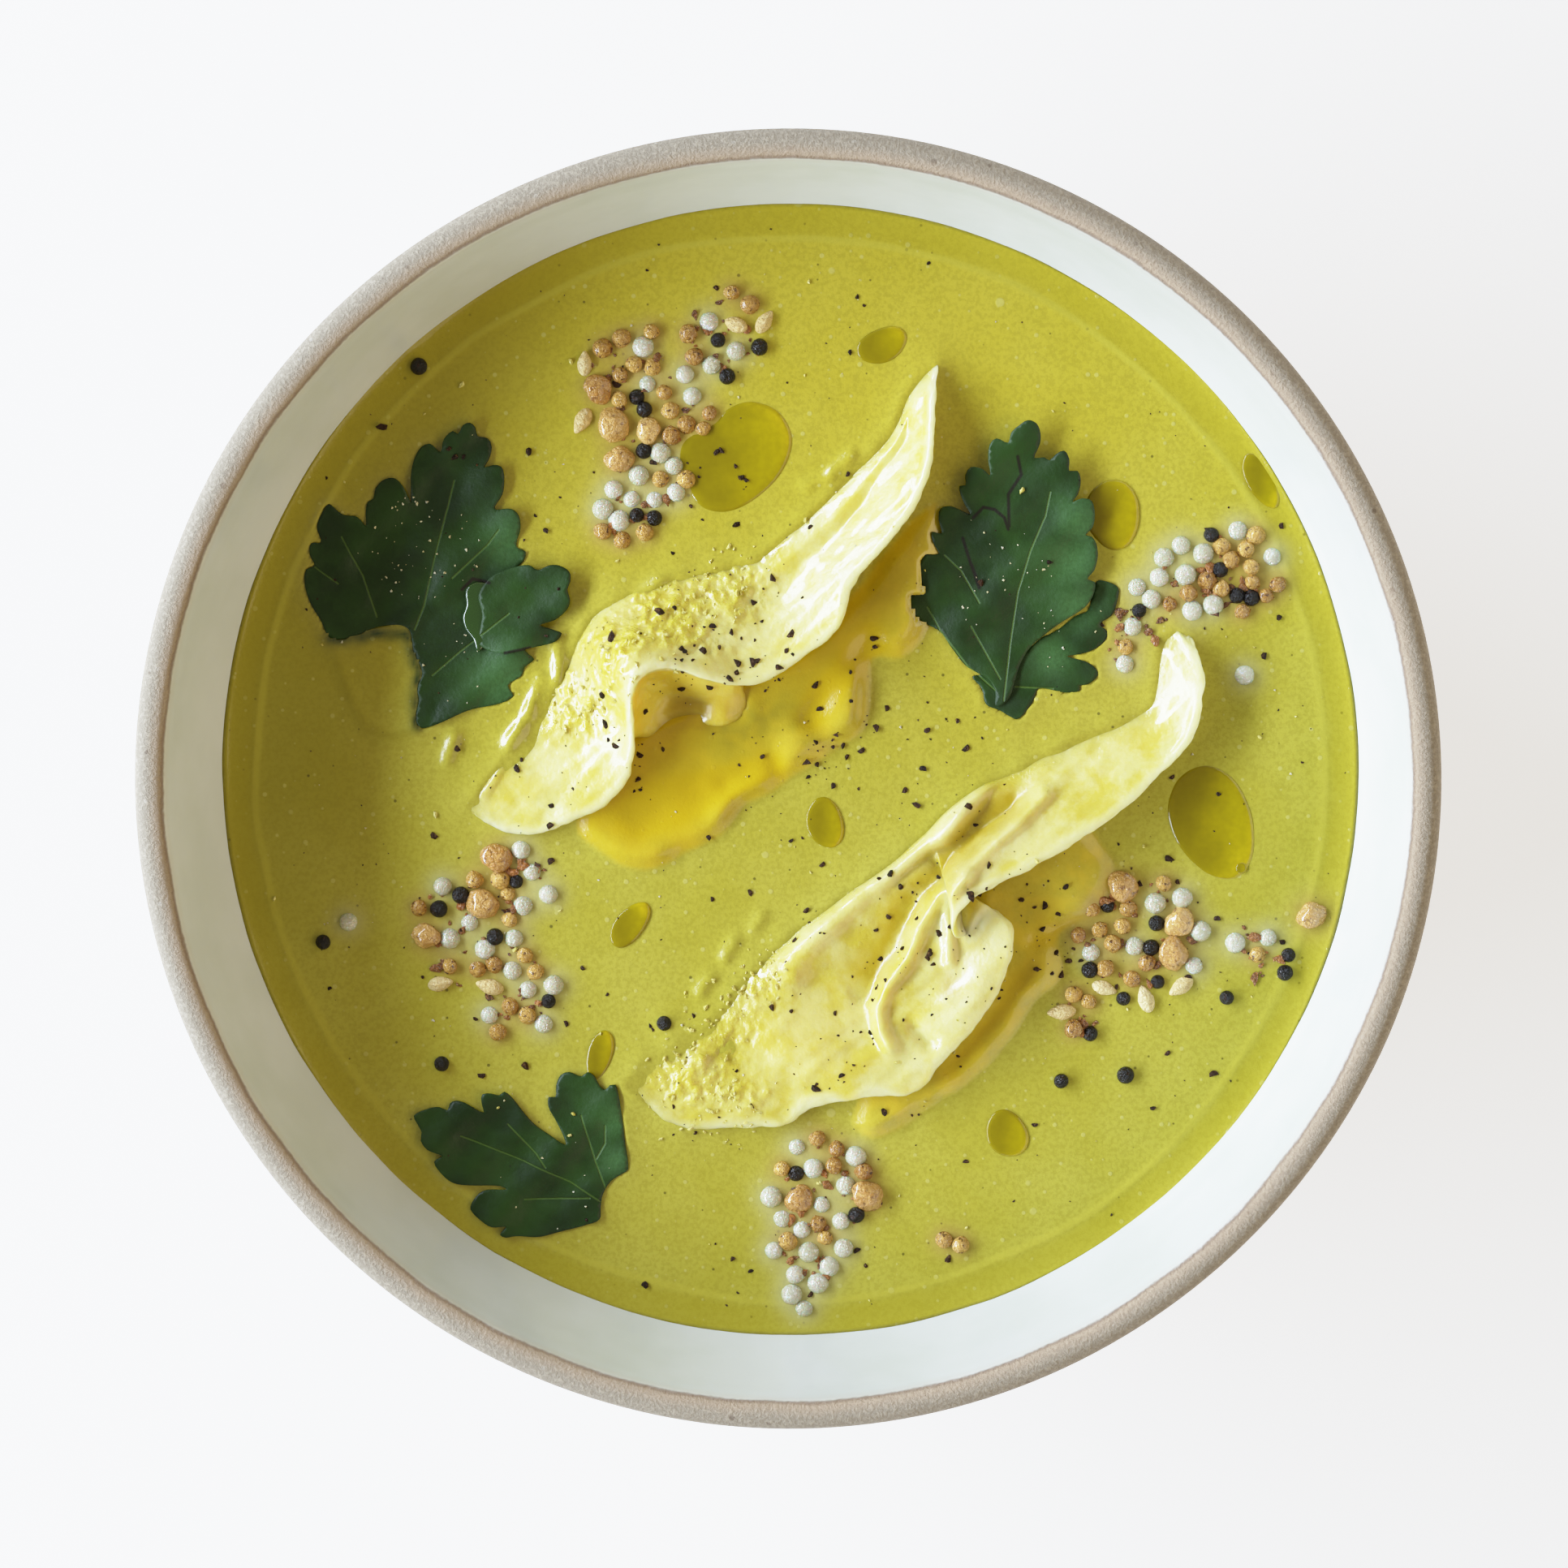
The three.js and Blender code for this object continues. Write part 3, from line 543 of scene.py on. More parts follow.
# %% [markdown]
# The glaze was poured inside and stops just under the rim. How far each point lies along the wall from that
# line is painted on the mesh, so the shader can draw the line sharply even between two points. The hand
# leaves the rim a little uneven, so the upper wall gets a slow wobble of a tenth of a millimetre.
# %% Glaze line and wobble
wall_length = np.concatenate([[0], np.cumsum(np.linalg.norm(np.diff(bowl_outline, axis=0), axis=1))])
glaze_index = np.argmin(np.linalg.norm(bowl_outline - np.array(glaze_line), axis=1))


def from_glaze_line(points):
    """Millimetres along the wall from the glaze line, above 0 on the glazed side."""
    section = np.column_stack([np.hypot(points[:, 0], points[:, 1]), points[:, 2]])
    nearest = np.array([np.argmin(((bowl_outline - point) ** 2).sum(1)) for point in section])
    return wall_length[nearest] - wall_length[glaze_index]


def uneven_by_hand(points):
    angle = np.arctan2(points[:, 1], points[:, 0])
    high = smoothstep(points[:, 2], 20, rim_height)
    wobble = 0.10 * np.sin(2 * angle + 0.7) + 0.05 * np.sin(5 * angle + 2.1)
    radius = np.maximum(np.hypot(points[:, 0], points[:, 1]), 1e-6)
    inward = np.minimum(wobble, 0) - 0.02
    points[:, :2] *= (1 + high * inward / radius)[:, None]
    return points


paint(stoneware_bowl, "from_glaze", from_glaze_line(points_of(stoneware_bowl)))
set_points(stoneware_bowl, uneven_by_hand(points_of(stoneware_bowl)))
print("glaze line at radius and height", glaze_line)

# %% [markdown]
# ## The bowl's finish
# Outside and on the rim the clay is bare: matt, taupe, sandy, with a few iron specks. Inside is a glossy
# pale glaze. Where the glaze thins out it turns tan, and at its edge it pools into a thin brown line,
# painted
# darker than pooling alone makes it: partly painted shade at the glaze's edge. Both are one material with a
# mask between them, because the fired clay runs under the glaze in one piece.
# %% Stoneware
clay_grey = rgb(172, 161, 142)
clay_dark = rgb(147, 136, 118)
clay_tan = rgb(186, 163, 136)
iron_brown = rgb(96, 78, 62)
quartz_pale = rgb(204, 197, 184)
glaze_white = rgb(224, 229, 226)
glaze_shade = rgb(215, 221, 215)
glaze_thin = rgb(204, 192, 172)
glaze_edge_and_shade = rgb(126, 100, 76)


def make_stoneware():
    material, shader = new_material("stoneware", specular_ior_level=0.5)
    wander = (clouds(9, 2) - 0.5) * 1.1
    ragged = (clouds(0.7, 2) - 0.5) * 0.45
    inside = painted("from_glaze") + (wander + ragged)
    glazed = between(inside, -0.25, 0.35)
    sand = between(clouds(0.5, 4, 0.7), 0.35, 0.65)
    clay = layered(clay_dark, (sand, clay_grey), (specks(2.6, 0.13, 0.35, 0.06) * 0.55, iron_brown),
                   (specks(1.7, 0.15, 0.3, 0.06) * 0.35, quartz_pale),
                   (between(inside, -2.4, -0.3, 0.0, 0.75), clay_tan))
    glaze = layered(glaze_shade, (between(clouds(12, 3), 0.3, 0.7), glaze_white),
                    (between(inside, 0.2, 2.2, 0.35, 0.0), glaze_thin))
    # painted shade: the brown line at the glaze's edge is partly pooled glaze and partly shade painted in
    pooled_and_shaded = between(inside, -0.5, 0.0) * between(inside, 0.05, 0.6, 1.0, 0.0)
    matt = between(sand, 0, 1, 0.68, 0.8)
    sandy = sand * maths("SUBTRACT", 1.0, glazed)
    poured = clouds(6, 2) * (glazed * 1.2)
    dress(shader, base_color=layered(clay, (glazed, glaze), (pooled_and_shaded * 0.7, glaze_edge_and_shade)),
          roughness=put("ShaderNodeMix", {0: glazed, 2: matt, 3: 0.16})[0],
          normal=bump((sandy + poured) + glazed * 1.5, 0.07))
    return material


finish_piece(stoneware_bowl, make_stoneware(), "stoneware", "bowl")

# %% [markdown]
# ## The dumplings' shape
# A dumpling is a folded round of dough, pressed shut along its curved side. It stands on its fold and leans
# over, so the pressed rim runs along its near right side and waves as the dough dried and was boiled.
# The solid already has this form with flat facets. A copy of it is merged, its triangle pairs become
# four-sided faces, and three rounds of subdivision turn the facets into soft dough.
# %% Rounded dough
def dough_from(node_name, piece_name):
    """A softened copy of a solid, in a mesh of its own."""
    piece = linked(piece_name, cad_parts[node_name].data.copy())
    piece.data.name = piece_name
    into_edit(piece)
    bpy.ops.mesh.customdata_custom_splitnormals_clear()
    bpy.ops.mesh.remove_doubles(threshold=weld * mm)
    bpy.ops.mesh.tris_convert_to_quads(face_threshold=math.pi, shape_threshold=math.pi)
    out_of_edit()
    apply_modifier(piece, "SUBSURF", levels=3, render_levels=3)
    return piece


dumpling_upper = dough_from("dumpling_1", "dumpling_upper")
dumpling_lower = dough_from("dumpling_2", "dumpling_lower")
print("dough points:", len(dumpling_upper.data.vertices), len(dumpling_lower.data.vertices))

# %% [markdown]
# The pressed rim runs from tip to tip. The distance of every point to it drives three things: the lip's
# small ripples, its rolled thickness, and later its paler colour. The folds in the dough are strokes: each
# is a line of corners with a height and a width, and raises or sinks the dough softly along that line.
# Stains are strokes too. All were read from the photograph from above.
# %% Lip, folds and stains
# The lip is (along, across, rise above the soup) from the first tip, folds are (height, width, corners),
# gold, pale and pink stains (strength, width, corners), and crumbs cling in discs of (x, y, radius).
# The gold stains lie in hollows and under the lip's folds: partly soup that gathers there, partly painted
# shade. The pale stains lighten crests and lobes towards the lip's colour: partly thicker dough, partly
# painted light, most of all in the shaded hook of the lower dumpling.
# The far end droops and grows broader by a share, and soup wets the dough's foot up to the film's height.
upper_form = {
    "tips": (Vector((-43, -4.7)), Vector((19.6, 54.6))),
    "seed": 1.0, "droop": 0.15, "broader": 0.0, "film": 1.6,
    "lip": [
        (0, 0.4, 0.6), (1, 4.6, 1), (4.7, 9.2, 1.8), (8.6, 10.5, 2.8), (13, 12.2, 3.8), (18.5, 12.2, 5),
        (21.8, 10.2, 6.2), (25.2, 6.3, 8), (27.4, 3.8, 9.2), (30, 2.7, 9.6), (33.5, 4.8, 8.6),
        (36.2, 10, 7.4), (39.5, 14.4, 6.4), (45, 15.7, 6.2), (51, 16.6, 7), (54.7, 16.2, 7.6),
        (56.4, 14.4, 7), (59, 13.3, 6.2), (66.7, 12.7, 6.8), (73, 11.2, 6.6), (78, 8, 6), (82, 4, 4.6),
        (86.2, 0.2, 1.4)],
    "folds": [
        (0.9, 1.3, [(-36.6, 7.7), (-38.5, 1.9), (-41.2, -2.2)]),
        (-0.7, 1.3, [(-34.5, 8.4), (-36, 2.5), (-37.5, -2.5)]),
        (-0.8, 2.6, [(15.5, 44), (10.4, 37.4), (2.7, 29.5), (-4, 22.5)]),
        (-1.3, 2.0, [(-15.4, 10.6), (-13.2, 8.6)]), (1.3, 2.2, [(-8.6, 7.6), (-10.4, 6.6)])],
    "gold_and_shade": [
        (1.0, 1.8, [(-13.6, 9.2), (-12.2, 9.4)]), (0.7, 1.8, [(-16.6, 4), (-14.8, 8.4)]),
        (0.5, 2.2, [(-19.5, -1), (-17, 5)]), (0.35, 2, [(-8, 8), (-3, 11)]),
        (0.4, 3, [(-31, 11), (-24, 18.5), (-12, 26)]), (0.45, 2.2, [(-37.5, 6), (-40.5, -1)])],
    "pale": [(0.5, 3, [(-31, -4), (-33, 2)]), (0.5, 4, [(-8, 16), (0, 22), (9, 31)])],
    "pink": [],
    "crumbs": [(-28.5, 9.5, 4), (-22, 15.5, 5.5), (-15, 20.5, 6.5), (-8, 25.5, 5)]}
lower_form = {
    "tips": (Vector((-21.8, -42)), Vector((53, 18.6))),
    "seed": 4.0, "droop": 0.38, "broader": 0.6, "film": 2.4,
    "lip": [
        (0, 0.4, 0.6), (0.6, 4.6, 0.8), (2, 9, 1), (6.6, 12.5, 1.4), (11, 15.8, 1.8), (13.6, 18, 2),
        (17.4, 17.2, 2.4), (20, 18.2, 2.8), (22, 20.6, 3.2), (25.6, 21.2, 3.4), (28.2, 24.6, 3.2),
        (32, 25.4, 3.4), (35, 23.6, 4.2), (38.5, 23.4, 4.8), (43.5, 22.3, 5.4), (48.6, 20.3, 5.8),
        (52.8, 17.3, 5.6), (55, 14.4, 4.4), (53, 12, 3.4), (49, 12.6, 4.2), (46.4, 12.2, 6),
        (47.8, 9.8, 7.4), (51, 8.4, 8), (56, 9.4, 7.6), (61, 10.6, 7.2), (67, 11.4, 7.2), (74, 12.3, 7.4),
        (80.5, 11.8, 7.6), (87.5, 11, 7.2), (92.4, 7.8, 6.4), (95.6, 3.6, 4.4), (96.3, 0.2, 1.4)],
    "folds": [
        (1.7, 2.3, [(24.8, -1.6), (21.1, -5.7), (15.3, -10.3), (9.7, -14.3), (6, -18.3), (0, -26)]),
        (-1.6, 1.5, [(28.5, -3.5), (24.8, -6.6), (20.5, -11.2), (16.8, -14.6), (13.1, -20.2), (10.9, -23.9),
        (10, -28.5)]),
        (1.5, 1.0, [(33.8, -2), (30.4, -5.6), (26.7, -8.7), (23.6, -11.8), (19.9, -15.8), (17.4, -20.2),
        (15.9, -23.9), (13.1, -27.9), (11.9, -30.6), (12.2, -33.4), (13.4, -35.9)]),
        (1.2, 0.9, [(23.6, -12.8), (22, -14.9), (21.1, -17.7), (21.4, -21.1), (21.4, -24.5)]),
        (1.8, 1.6, [(24, -20.4), (25.2, -17.2)]), (0.8, 3.2, [(22.4, -31.3), (25, -26.5)]),
        (-0.9, 1.0, [(19, -35.6), (16.6, -33.4)]), (0.7, 1.5, [(-8, -30), (-11, -36), (-14, -41)])],
    "gold_and_shade": [
        (1.0, 3.0, [(28.5, -3.5), (24.8, -6.6), (20.5, -11.2), (16.8, -14.6), (13.1, -20.2), (10.6, -25.5)]),
        (0.3, 1.8, [(26.4, -15.5), (24.2, -19.5), (23.3, -24.2)]), (0.9, 1.4, [(21.7, -27), (21.4, -28)]),
        (0.2, 3, [(6, -27), (1, -31), (-6, -36)])],
    "pale": [
        (0.5, 2.6, [(46, 8.5), (50.4, 12.4), (52.4, 16.5)]),
        (0.7, 1.8, [(24.2, -2.6), (20, -7.6), (14.6, -12), (9, -16), (5, -20.5)]),
        (0.8, 1.6, [(30, -7), (23.6, -12.8), (21.1, -17.7), (21.4, -24.5)]),
        (0.8, 3.4, [(22.4, -31.3), (25, -26.5), (28, -21)]), (0.8, 2, [(17.5, -39), (17.5, -42)])],
    "pink": [(0.5, 4.5, [(2.9, -33.6), (9.4, -31.4)]), (0.4, 4, [(-1.4, -41.2), (4, -39)])],
    "crumbs": [(-10.1, -32.6, 6), (-13.4, -41.3, 7), (-7, -45.5, 5), (-4, -27, 4)]}


def directions(tips):
    """The way along a dumpling and the way across it."""
    run = (tips[1] - tips[0]).normalized()
    return run, Vector((run.y, -run.x))


def lip_corners(form):
    """The corners of the lip as x, y, z."""
    run, right = directions(form["tips"])
    return [Vector((*(form["tips"][0] + run * along + right * across), soup_level + rise))
            for along, across, rise in form["lip"]]


def distance_to(points, line):
    """Millimetres from each point to the nearest point of a fine line."""
    tree = kdtree.KDTree(len(line))
    for index, place in enumerate(line):
        tree.insert(place, index)
    tree.balance()
    return np.array([tree.find(point)[2] for point in points])


def line_distance(flat, corners):
    """Millimetres from each (x, y) to a line of straight stretches."""
    best = np.full(len(flat), 99.0)
    for start, end in zip(np.array(corners[:-1]), np.array(corners[1:])):
        run = end - start
        part = np.clip((flat - start) @ run / (run @ run), 0, 1)
        best = np.minimum(best, np.linalg.norm(flat - (start + part[:, None] * run), axis=1))
    return best


def strokes(points, lines):
    """The sum of soft strokes, each with its height and width."""
    total = np.zeros(len(points))
    for height, width, corners in lines:
        total += height * np.exp(-(line_distance(points[:, :2], corners) / width) ** 2)
    return total


def near_places(points, places):
    """1 in the middle of each round place, easing to 0 past its radius."""
    near = np.zeros(len(points))
    for x, y, radius in places:
        away = np.hypot(points[:, 0] - x, points[:, 1] - y)
        near = np.maximum(near, np.exp(-(away / radius) ** 2))
    return near


def raise_folds(points, form, facing_up, above, lip, along, across):
    """Folds and long creases, which never sink into the soup."""
    stretched = np.column_stack([along / 4, across, points[:, 2] / 4])
    creases = 0.26 * noise_at(stretched, 1.5, form["seed"] + 2)
    lowest = np.minimum(points[:, 2], soup_level + 1.9)
    folds = strokes(points, form["folds"]) + creases * (1 - lip)
    points[:, 2] += folds * facing_up * above * (1 - 0.7 * lip)
    points[:, 2] = np.maximum(points[:, 2], lowest)


def shape_far_end(points, form, along, across, right):
    """The far end grows broader on the side away from the lip, and droops."""
    end_along, end_across = np.array(form["lip"])[-5:, :2].T
    behind = np.maximum(np.interp(along, end_along, end_across) - across, 0)
    points[:, :2] -= (behind * (form["broader"] * smoothstep(along, 86, 94)))[:, None] * right
    over = np.maximum(points[:, 2] - soup_level, 0)
    points[:, 2] -= over * form["droop"] * smoothstep(along, 60, 84) * (1 - 0.5 * smoothstep(along, 88, 95))


def work_dough(piece, form):
    """Gives the dough its lip, folds, crumbs and small unevenness, and paints what its finish needs."""
    points, normals, seed = points_of(piece), normals_of(piece), form["seed"]
    from_lip = distance_to(points, smooth_line(lip_corners(form), 0.4))
    lip = np.exp(-(from_lip / 1.6) ** 2)
    facing_up = smoothstep(normals[:, 2], 0.1, 0.5)
    rolled = np.exp(-((from_lip - 0.9) / 0.7) ** 2) * facing_up
    ripple = noise_at(points, 2.6, seed) + 0.6 * noise_at(points, 1.2, seed + 3)
    soft = 0.28 * noise_at(points, 7, seed + 5) + 0.10 * noise_at(points, 2.4, seed + 9)
    above = smoothstep(points[:, 2], soup_level - 0.5, soup_level + 1)
    crumb = near_places(points, form["crumbs"]) * smoothstep(from_lip, 1.5, 5) * above * facing_up
    lumpy = np.maximum(noise_at(points, 1.1, seed + 11) + 0.1, 0)
    clumps = lumpy + 0.5 * np.abs(noise_at(points, 0.6, seed + 13))
    run, right = (np.array(way) for way in directions(form["tips"]))
    flat = points[:, :2] - np.array(form["tips"][0])
    along, across = flat @ run, flat @ right
    raise_folds(points, form, facing_up, above, lip, along, across)
    points += normals * [1, 1, 0.35] * (0.30 * lip * ripple)[:, None]
    points += normals * (0.16 * rolled + above * soft * (1 - lip))[:, None]
    points += normals * (0.8 * crumb * clumps)[:, None]
    shape_far_end(points, form, along, across, right)
    set_points(piece, points)
    outward = normals @ [*right, 0]
    film_height = points[:, 2] + 0.6 * noise_at(points, 3, seed) + 0.4 * noise_at(points, 1.2, seed)
    # painted light: the side of the lip turned away from the window is marked for a glowing yellow, standing
    # for light through the thin dough
    paint(piece, "painted_through_light", smoothstep(outward, 0.0, 0.4) * smoothstep(from_lip, 0.5, 1.6))
    paint(piece, "from_lip", from_lip)
    paint(piece, "crumb", np.clip(crumb * (0.35 + 1.3 * clumps), 0, 1))
    paint(piece, "wet", 1 - smoothstep(film_height, soup_level, soup_level + form["film"]))
    points = points_of(piece)
    blur = 1 + 0.35 * noise_at(points, 1.8, 6)
    for stain in ("gold_and_shade", "pale", "pink"):
        paint(piece, stain, np.clip(strokes(points, form[stain]) * blur, 0, 1))


work_dough(dumpling_upper, upper_form)
work_dough(dumpling_lower, lower_form)
print("dough worked")

# %% [markdown]
# ## The dough's finish
# Boiled dough is cream where it is thick, and its lip is nearly white. Where it is thin or coated, the
# yellow of the soup shows. A little light travels inside it, which softens its shadows, and its skin is wet.
# The side of the lip turned away from the window is painted a saturated yellow: painted light for the glow
# of light that shines through the thin dough.
# %% Dough material
dough_cream = rgb(226, 218, 132)
dough_through_light = rgb(232, 202, 48)
dough_lip = rgb(233, 230, 170)
dough_yellow = rgb(212, 195, 58)
dough_gold_and_shade = rgb(178, 150, 16)
filling_pink = rgb(204, 182, 84)
crumb_yellow = rgb(216, 202, 62)
film_yellow = rgb(208, 188, 58)


def make_dough():
    material, shader = new_material("dough", subsurface_weight=0.6, subsurface_scale=3.5 * mm,
                                    subsurface_radius=(1.0, 0.8, 0.3), coat_roughness=0.07)
    soup = group_of("soup_colour", {"Grain": 0.6})
    wet, crumb = painted("wet"), painted("crumb")
    lip = between(painted("from_lip"), 0.3, 2.0, 0.95, 0.0)
    cloud = between(clouds(5, 4, 0.6), 0.4, 0.62)
    coated = maths("MAXIMUM", wet, crumb * 0.8)
    film = between(clouds(3, 3), 0.5, 0.75) * 0.25
    # painted light and shade: the through-light glow, the shade in the gold stains and the light in the pale
    # stains are layers here
    colour = layered(dough_cream, (cloud * 0.85, dough_yellow), (painted("pink") * 0.8, filling_pink),
                     (painted("painted_through_light") * 0.85, dough_through_light), (painted("gold_and_shade"), dough_gold_and_shade),
                     (maths("MAXIMUM", lip, painted("pale") * 0.6), dough_lip), (crumb * 0.8, crumb_yellow),
                     (maths("MAXIMUM", wet, film), blend(0.6, soup["Color"], film_yellow)))
    fine = clouds(0.9, 3) + soup["Height"] * coated
    clumped = clouds(0.7, 3) * (crumb * 4.0)
    dress(shader, base_color=colour, roughness=between(coated, 0, 1, 0.34, 0.16),
          coat_weight=maths("MAXIMUM", coated, between(cloud, 0, 1, 0.3, 0.7)),
          normal=bump(fine + clumped, 0.12))
    return material


dough = make_dough()
finish_piece(dumpling_upper, dough, "dough", "dumpling_1")
finish_piece(dumpling_lower, dough, "dough", "dumpling_2")

# %% [markdown]
# ## The parsley's shape
# Three leaves float on the soup. Each is thin, toothed and slightly waved, with sunk veins. A leaf could be
# a flat cut-out with a picture of veins, but then it would catch no light. Here each leaf is one or two
# sheets: an outline read from the photograph tooth by tooth, filled with evenly spaced points that are
# raised a little between the veins. A second sheet is a lobe that lies folded over or under the first.
# The wave has the same formula as the solid's, so the leaf stays in its place. The second leaf is flatter.
# %% Leaf forms
leaf_step = 0.5
leaf_thickness = 0.35
leaf_sink = 0.3
vein_depth = 0.22
left_leaf = [
    (-42.2, 46.8), (-41.5, 46.2), (-41.2, 45), (-39.9, 44.7), (-39.4, 43.6), (-39.8, 42), (-40.4, 40.9),
    (-39.2, 41.2), (-38.1, 41), (-37.7, 39.5), (-38, 37.3), (-39.1, 35.4), (-36.8, 35.4), (-35.8, 34.5),
    (-35.6, 32.8), (-36.2, 30.4), (-35, 29.7), (-35.3, 28.5), (-36.4, 27.2), (-37, 24), (-36.4, 20),
    (-34.9, 16.4), (-33.9, 15.4), (-35.1, 14.4), (-35.6, 13.2), (-37.4, 11.9), (-36.7, 10.5),
    (-38.5, 9.5), (-42.6, 8.6), (-46.5, 6.9), (-49, 6.2), (-49.8, 7.6), (-49.3, 9.8), (-49.5, 11.5),
    (-48.8, 13.6), (-50, 16.6), (-50.4, 19.2), (-52, 20), (-55, 19.6), (-58, 18.4), (-61, 18.2),
    (-62.4, 20.7), (-63.7, 22.9), (-64.4, 25.4), (-64.2, 27.3), (-63.1, 27.8), (-63.7, 29.3),
    (-63.5, 30.8), (-62.2, 30.9), (-62.7, 33), (-61.8, 35.2), (-61.1, 36), (-59.3, 34.6), (-57.4, 34.3),
    (-56.2, 33.1), (-56.2, 34.9), (-55.9, 36.3), (-55.2, 36.7), (-54.8, 38.2), (-53.6, 39.3),
    (-52.2, 39.4), (-51, 38.1), (-50.1, 36.2), (-50.1, 40), (-49.6, 42.2), (-48.7, 43.6), (-47.6, 44),
    (-46.2, 42.9), (-45.7, 44.6), (-44.5, 45.7), (-43.8, 45.3), (-43.1, 46.5)]
left_fold = [
    (-39.6, 26.3), (-37.6, 27.3), (-34.6, 28), (-33.3, 27.3), (-31.8, 27.9), (-30.4, 27.9), (-29.1, 27.1),
    (-29, 25.8), (-29.4, 24.8), (-29, 23.3), (-29.4, 22.1), (-31, 20.7), (-33, 20), (-31.5, 19.4),
    (-30.2, 18.9), (-31, 17.8), (-34.1, 17), (-37.4, 16.3), (-39.8, 16.6), (-41.2, 17.5), (-41, 19.4),
    (-40.7, 21.5), (-41.2, 24)]
middle_leaf = [
    (31.5, 47.2), (32.7, 46.7), (33.2, 45.4), (33.1, 44), (32.4, 42.2), (33.6, 42.3), (34.4, 41.9),
    (35.2, 42.7), (36.3, 43.2), (37, 42), (37, 40.5), (38.1, 40.5), (38.5, 39.2), (38.1, 37.4),
    (37.4, 36.4), (38.7, 36.9), (40, 36.5), (40.4, 34.6), (40.1, 33), (39.2, 32), (40, 31.8),
    (40.6, 30.9), (40.8, 29.2), (40.4, 27.4), (39.5, 26.2), (40.5, 25.8), (40.3, 24.2), (39.2, 22.5),
    (36, 20.4), (33.9, 18.8), (32, 17.1), (30.6, 14.7), (29.8, 12), (29.2, 10.4), (28.2, 9.4),
    (27.4, 9.4), (27.4, 11), (26.7, 12.6), (25, 13.7), (23.4, 14.7), (21.6, 17), (20, 19.2), (17.5, 20.6),
    (16.2, 22), (15.9, 23.6), (16.8, 24.4), (18, 24.3), (17.4, 25.8), (17.3, 27.6), (18, 29.4),
    (19.3, 29.4), (19.9, 29.5), (19.1, 31), (18.9, 32.4), (20.2, 32.2), (19.8, 34), (20, 35.5),
    (21.3, 35.8), (22.8, 35.2), (24, 34.7), (23, 36.5), (22.5, 38.5), (23.3, 38.6), (23.3, 40), (24, 41),
    (25.5, 40.8), (26.6, 39.9), (26.3, 42), (26.5, 44), (27.4, 44.8), (28.9, 44.2), (29.3, 45.5),
    (30.2, 46.4)]
middle_under = [
    (33, 18), (35.6, 19.4), (38.1, 21.3), (39.6, 22), (40.2, 24), (40.8, 25.9), (42.2, 25.8), (43.6, 25),
    (43.5, 23.4), (42.8, 21.4), (41.2, 20.2), (42.2, 19.2), (41.9, 18), (40.4, 16.8), (38.6, 16.2),
    (36.9, 15.9), (39.4, 15.2), (40.7, 14.3), (41, 13.4), (39.7, 12.2), (38.6, 12), (38.6, 11.3),
    (36.5, 11.1), (33.2, 11.6), (32.4, 9.9), (31, 8), (30.2, 7.5), (28, 8.7), (26.2, 9.5), (25.6, 11.6),
    (24.4, 13.2), (27, 13.4), (29, 14)]
lower_leaf = [
    (-50.3, -46), (-48.3, -45), (-46.9, -44.8), (-45.8, -45.2), (-45.5, -44.3), (-44.7, -43.9),
    (-43.4, -44.2), (-41.4, -45.4), (-40.9, -45.6), (-41.2, -44), (-41.1, -43), (-39.9, -42.9),
    (-38.8, -43.2), (-38.1, -42.7), (-37.2, -43.4), (-35.8, -45.2), (-34, -47.2), (-31.5, -48.9),
    (-29.9, -49.8), (-30.3, -48.5), (-31.3, -46.5), (-32.2, -44.8), (-32.2, -43.4), (-31.3, -43.4),
    (-31.2, -41.8), (-30.6, -40.4), (-29.5, -40), (-27.8, -40.6), (-27, -40), (-26.1, -40.5),
    (-25.4, -41.8), (-24.7, -42.4), (-24, -41.7), (-23.3, -41.6), (-22.8, -43), (-22.4, -46),
    (-22, -49.7), (-21.6, -53.2), (-22.4, -53.8), (-23.9, -54.8), (-25, -56.6), (-25.3, -58.4),
    (-25.5, -60), (-27.4, -60.8), (-30.8, -61.7), (-33.6, -62.4), (-36.7, -62.3), (-38.1, -62.5),
    (-38.8, -62.1), (-38, -61), (-39.9, -61), (-41.3, -60.2), (-42.8, -58.7), (-42.4, -57.4),
    (-40.9, -56.1), (-37.9, -55.9), (-38.8, -55.5), (-42, -55.4), (-44.9, -55.1), (-46.5, -54),
    (-47.6, -52.2), (-46.5, -51.4), (-48.5, -50.5), (-49.4, -49.3), (-49.3, -48.2), (-49.9, -47)]
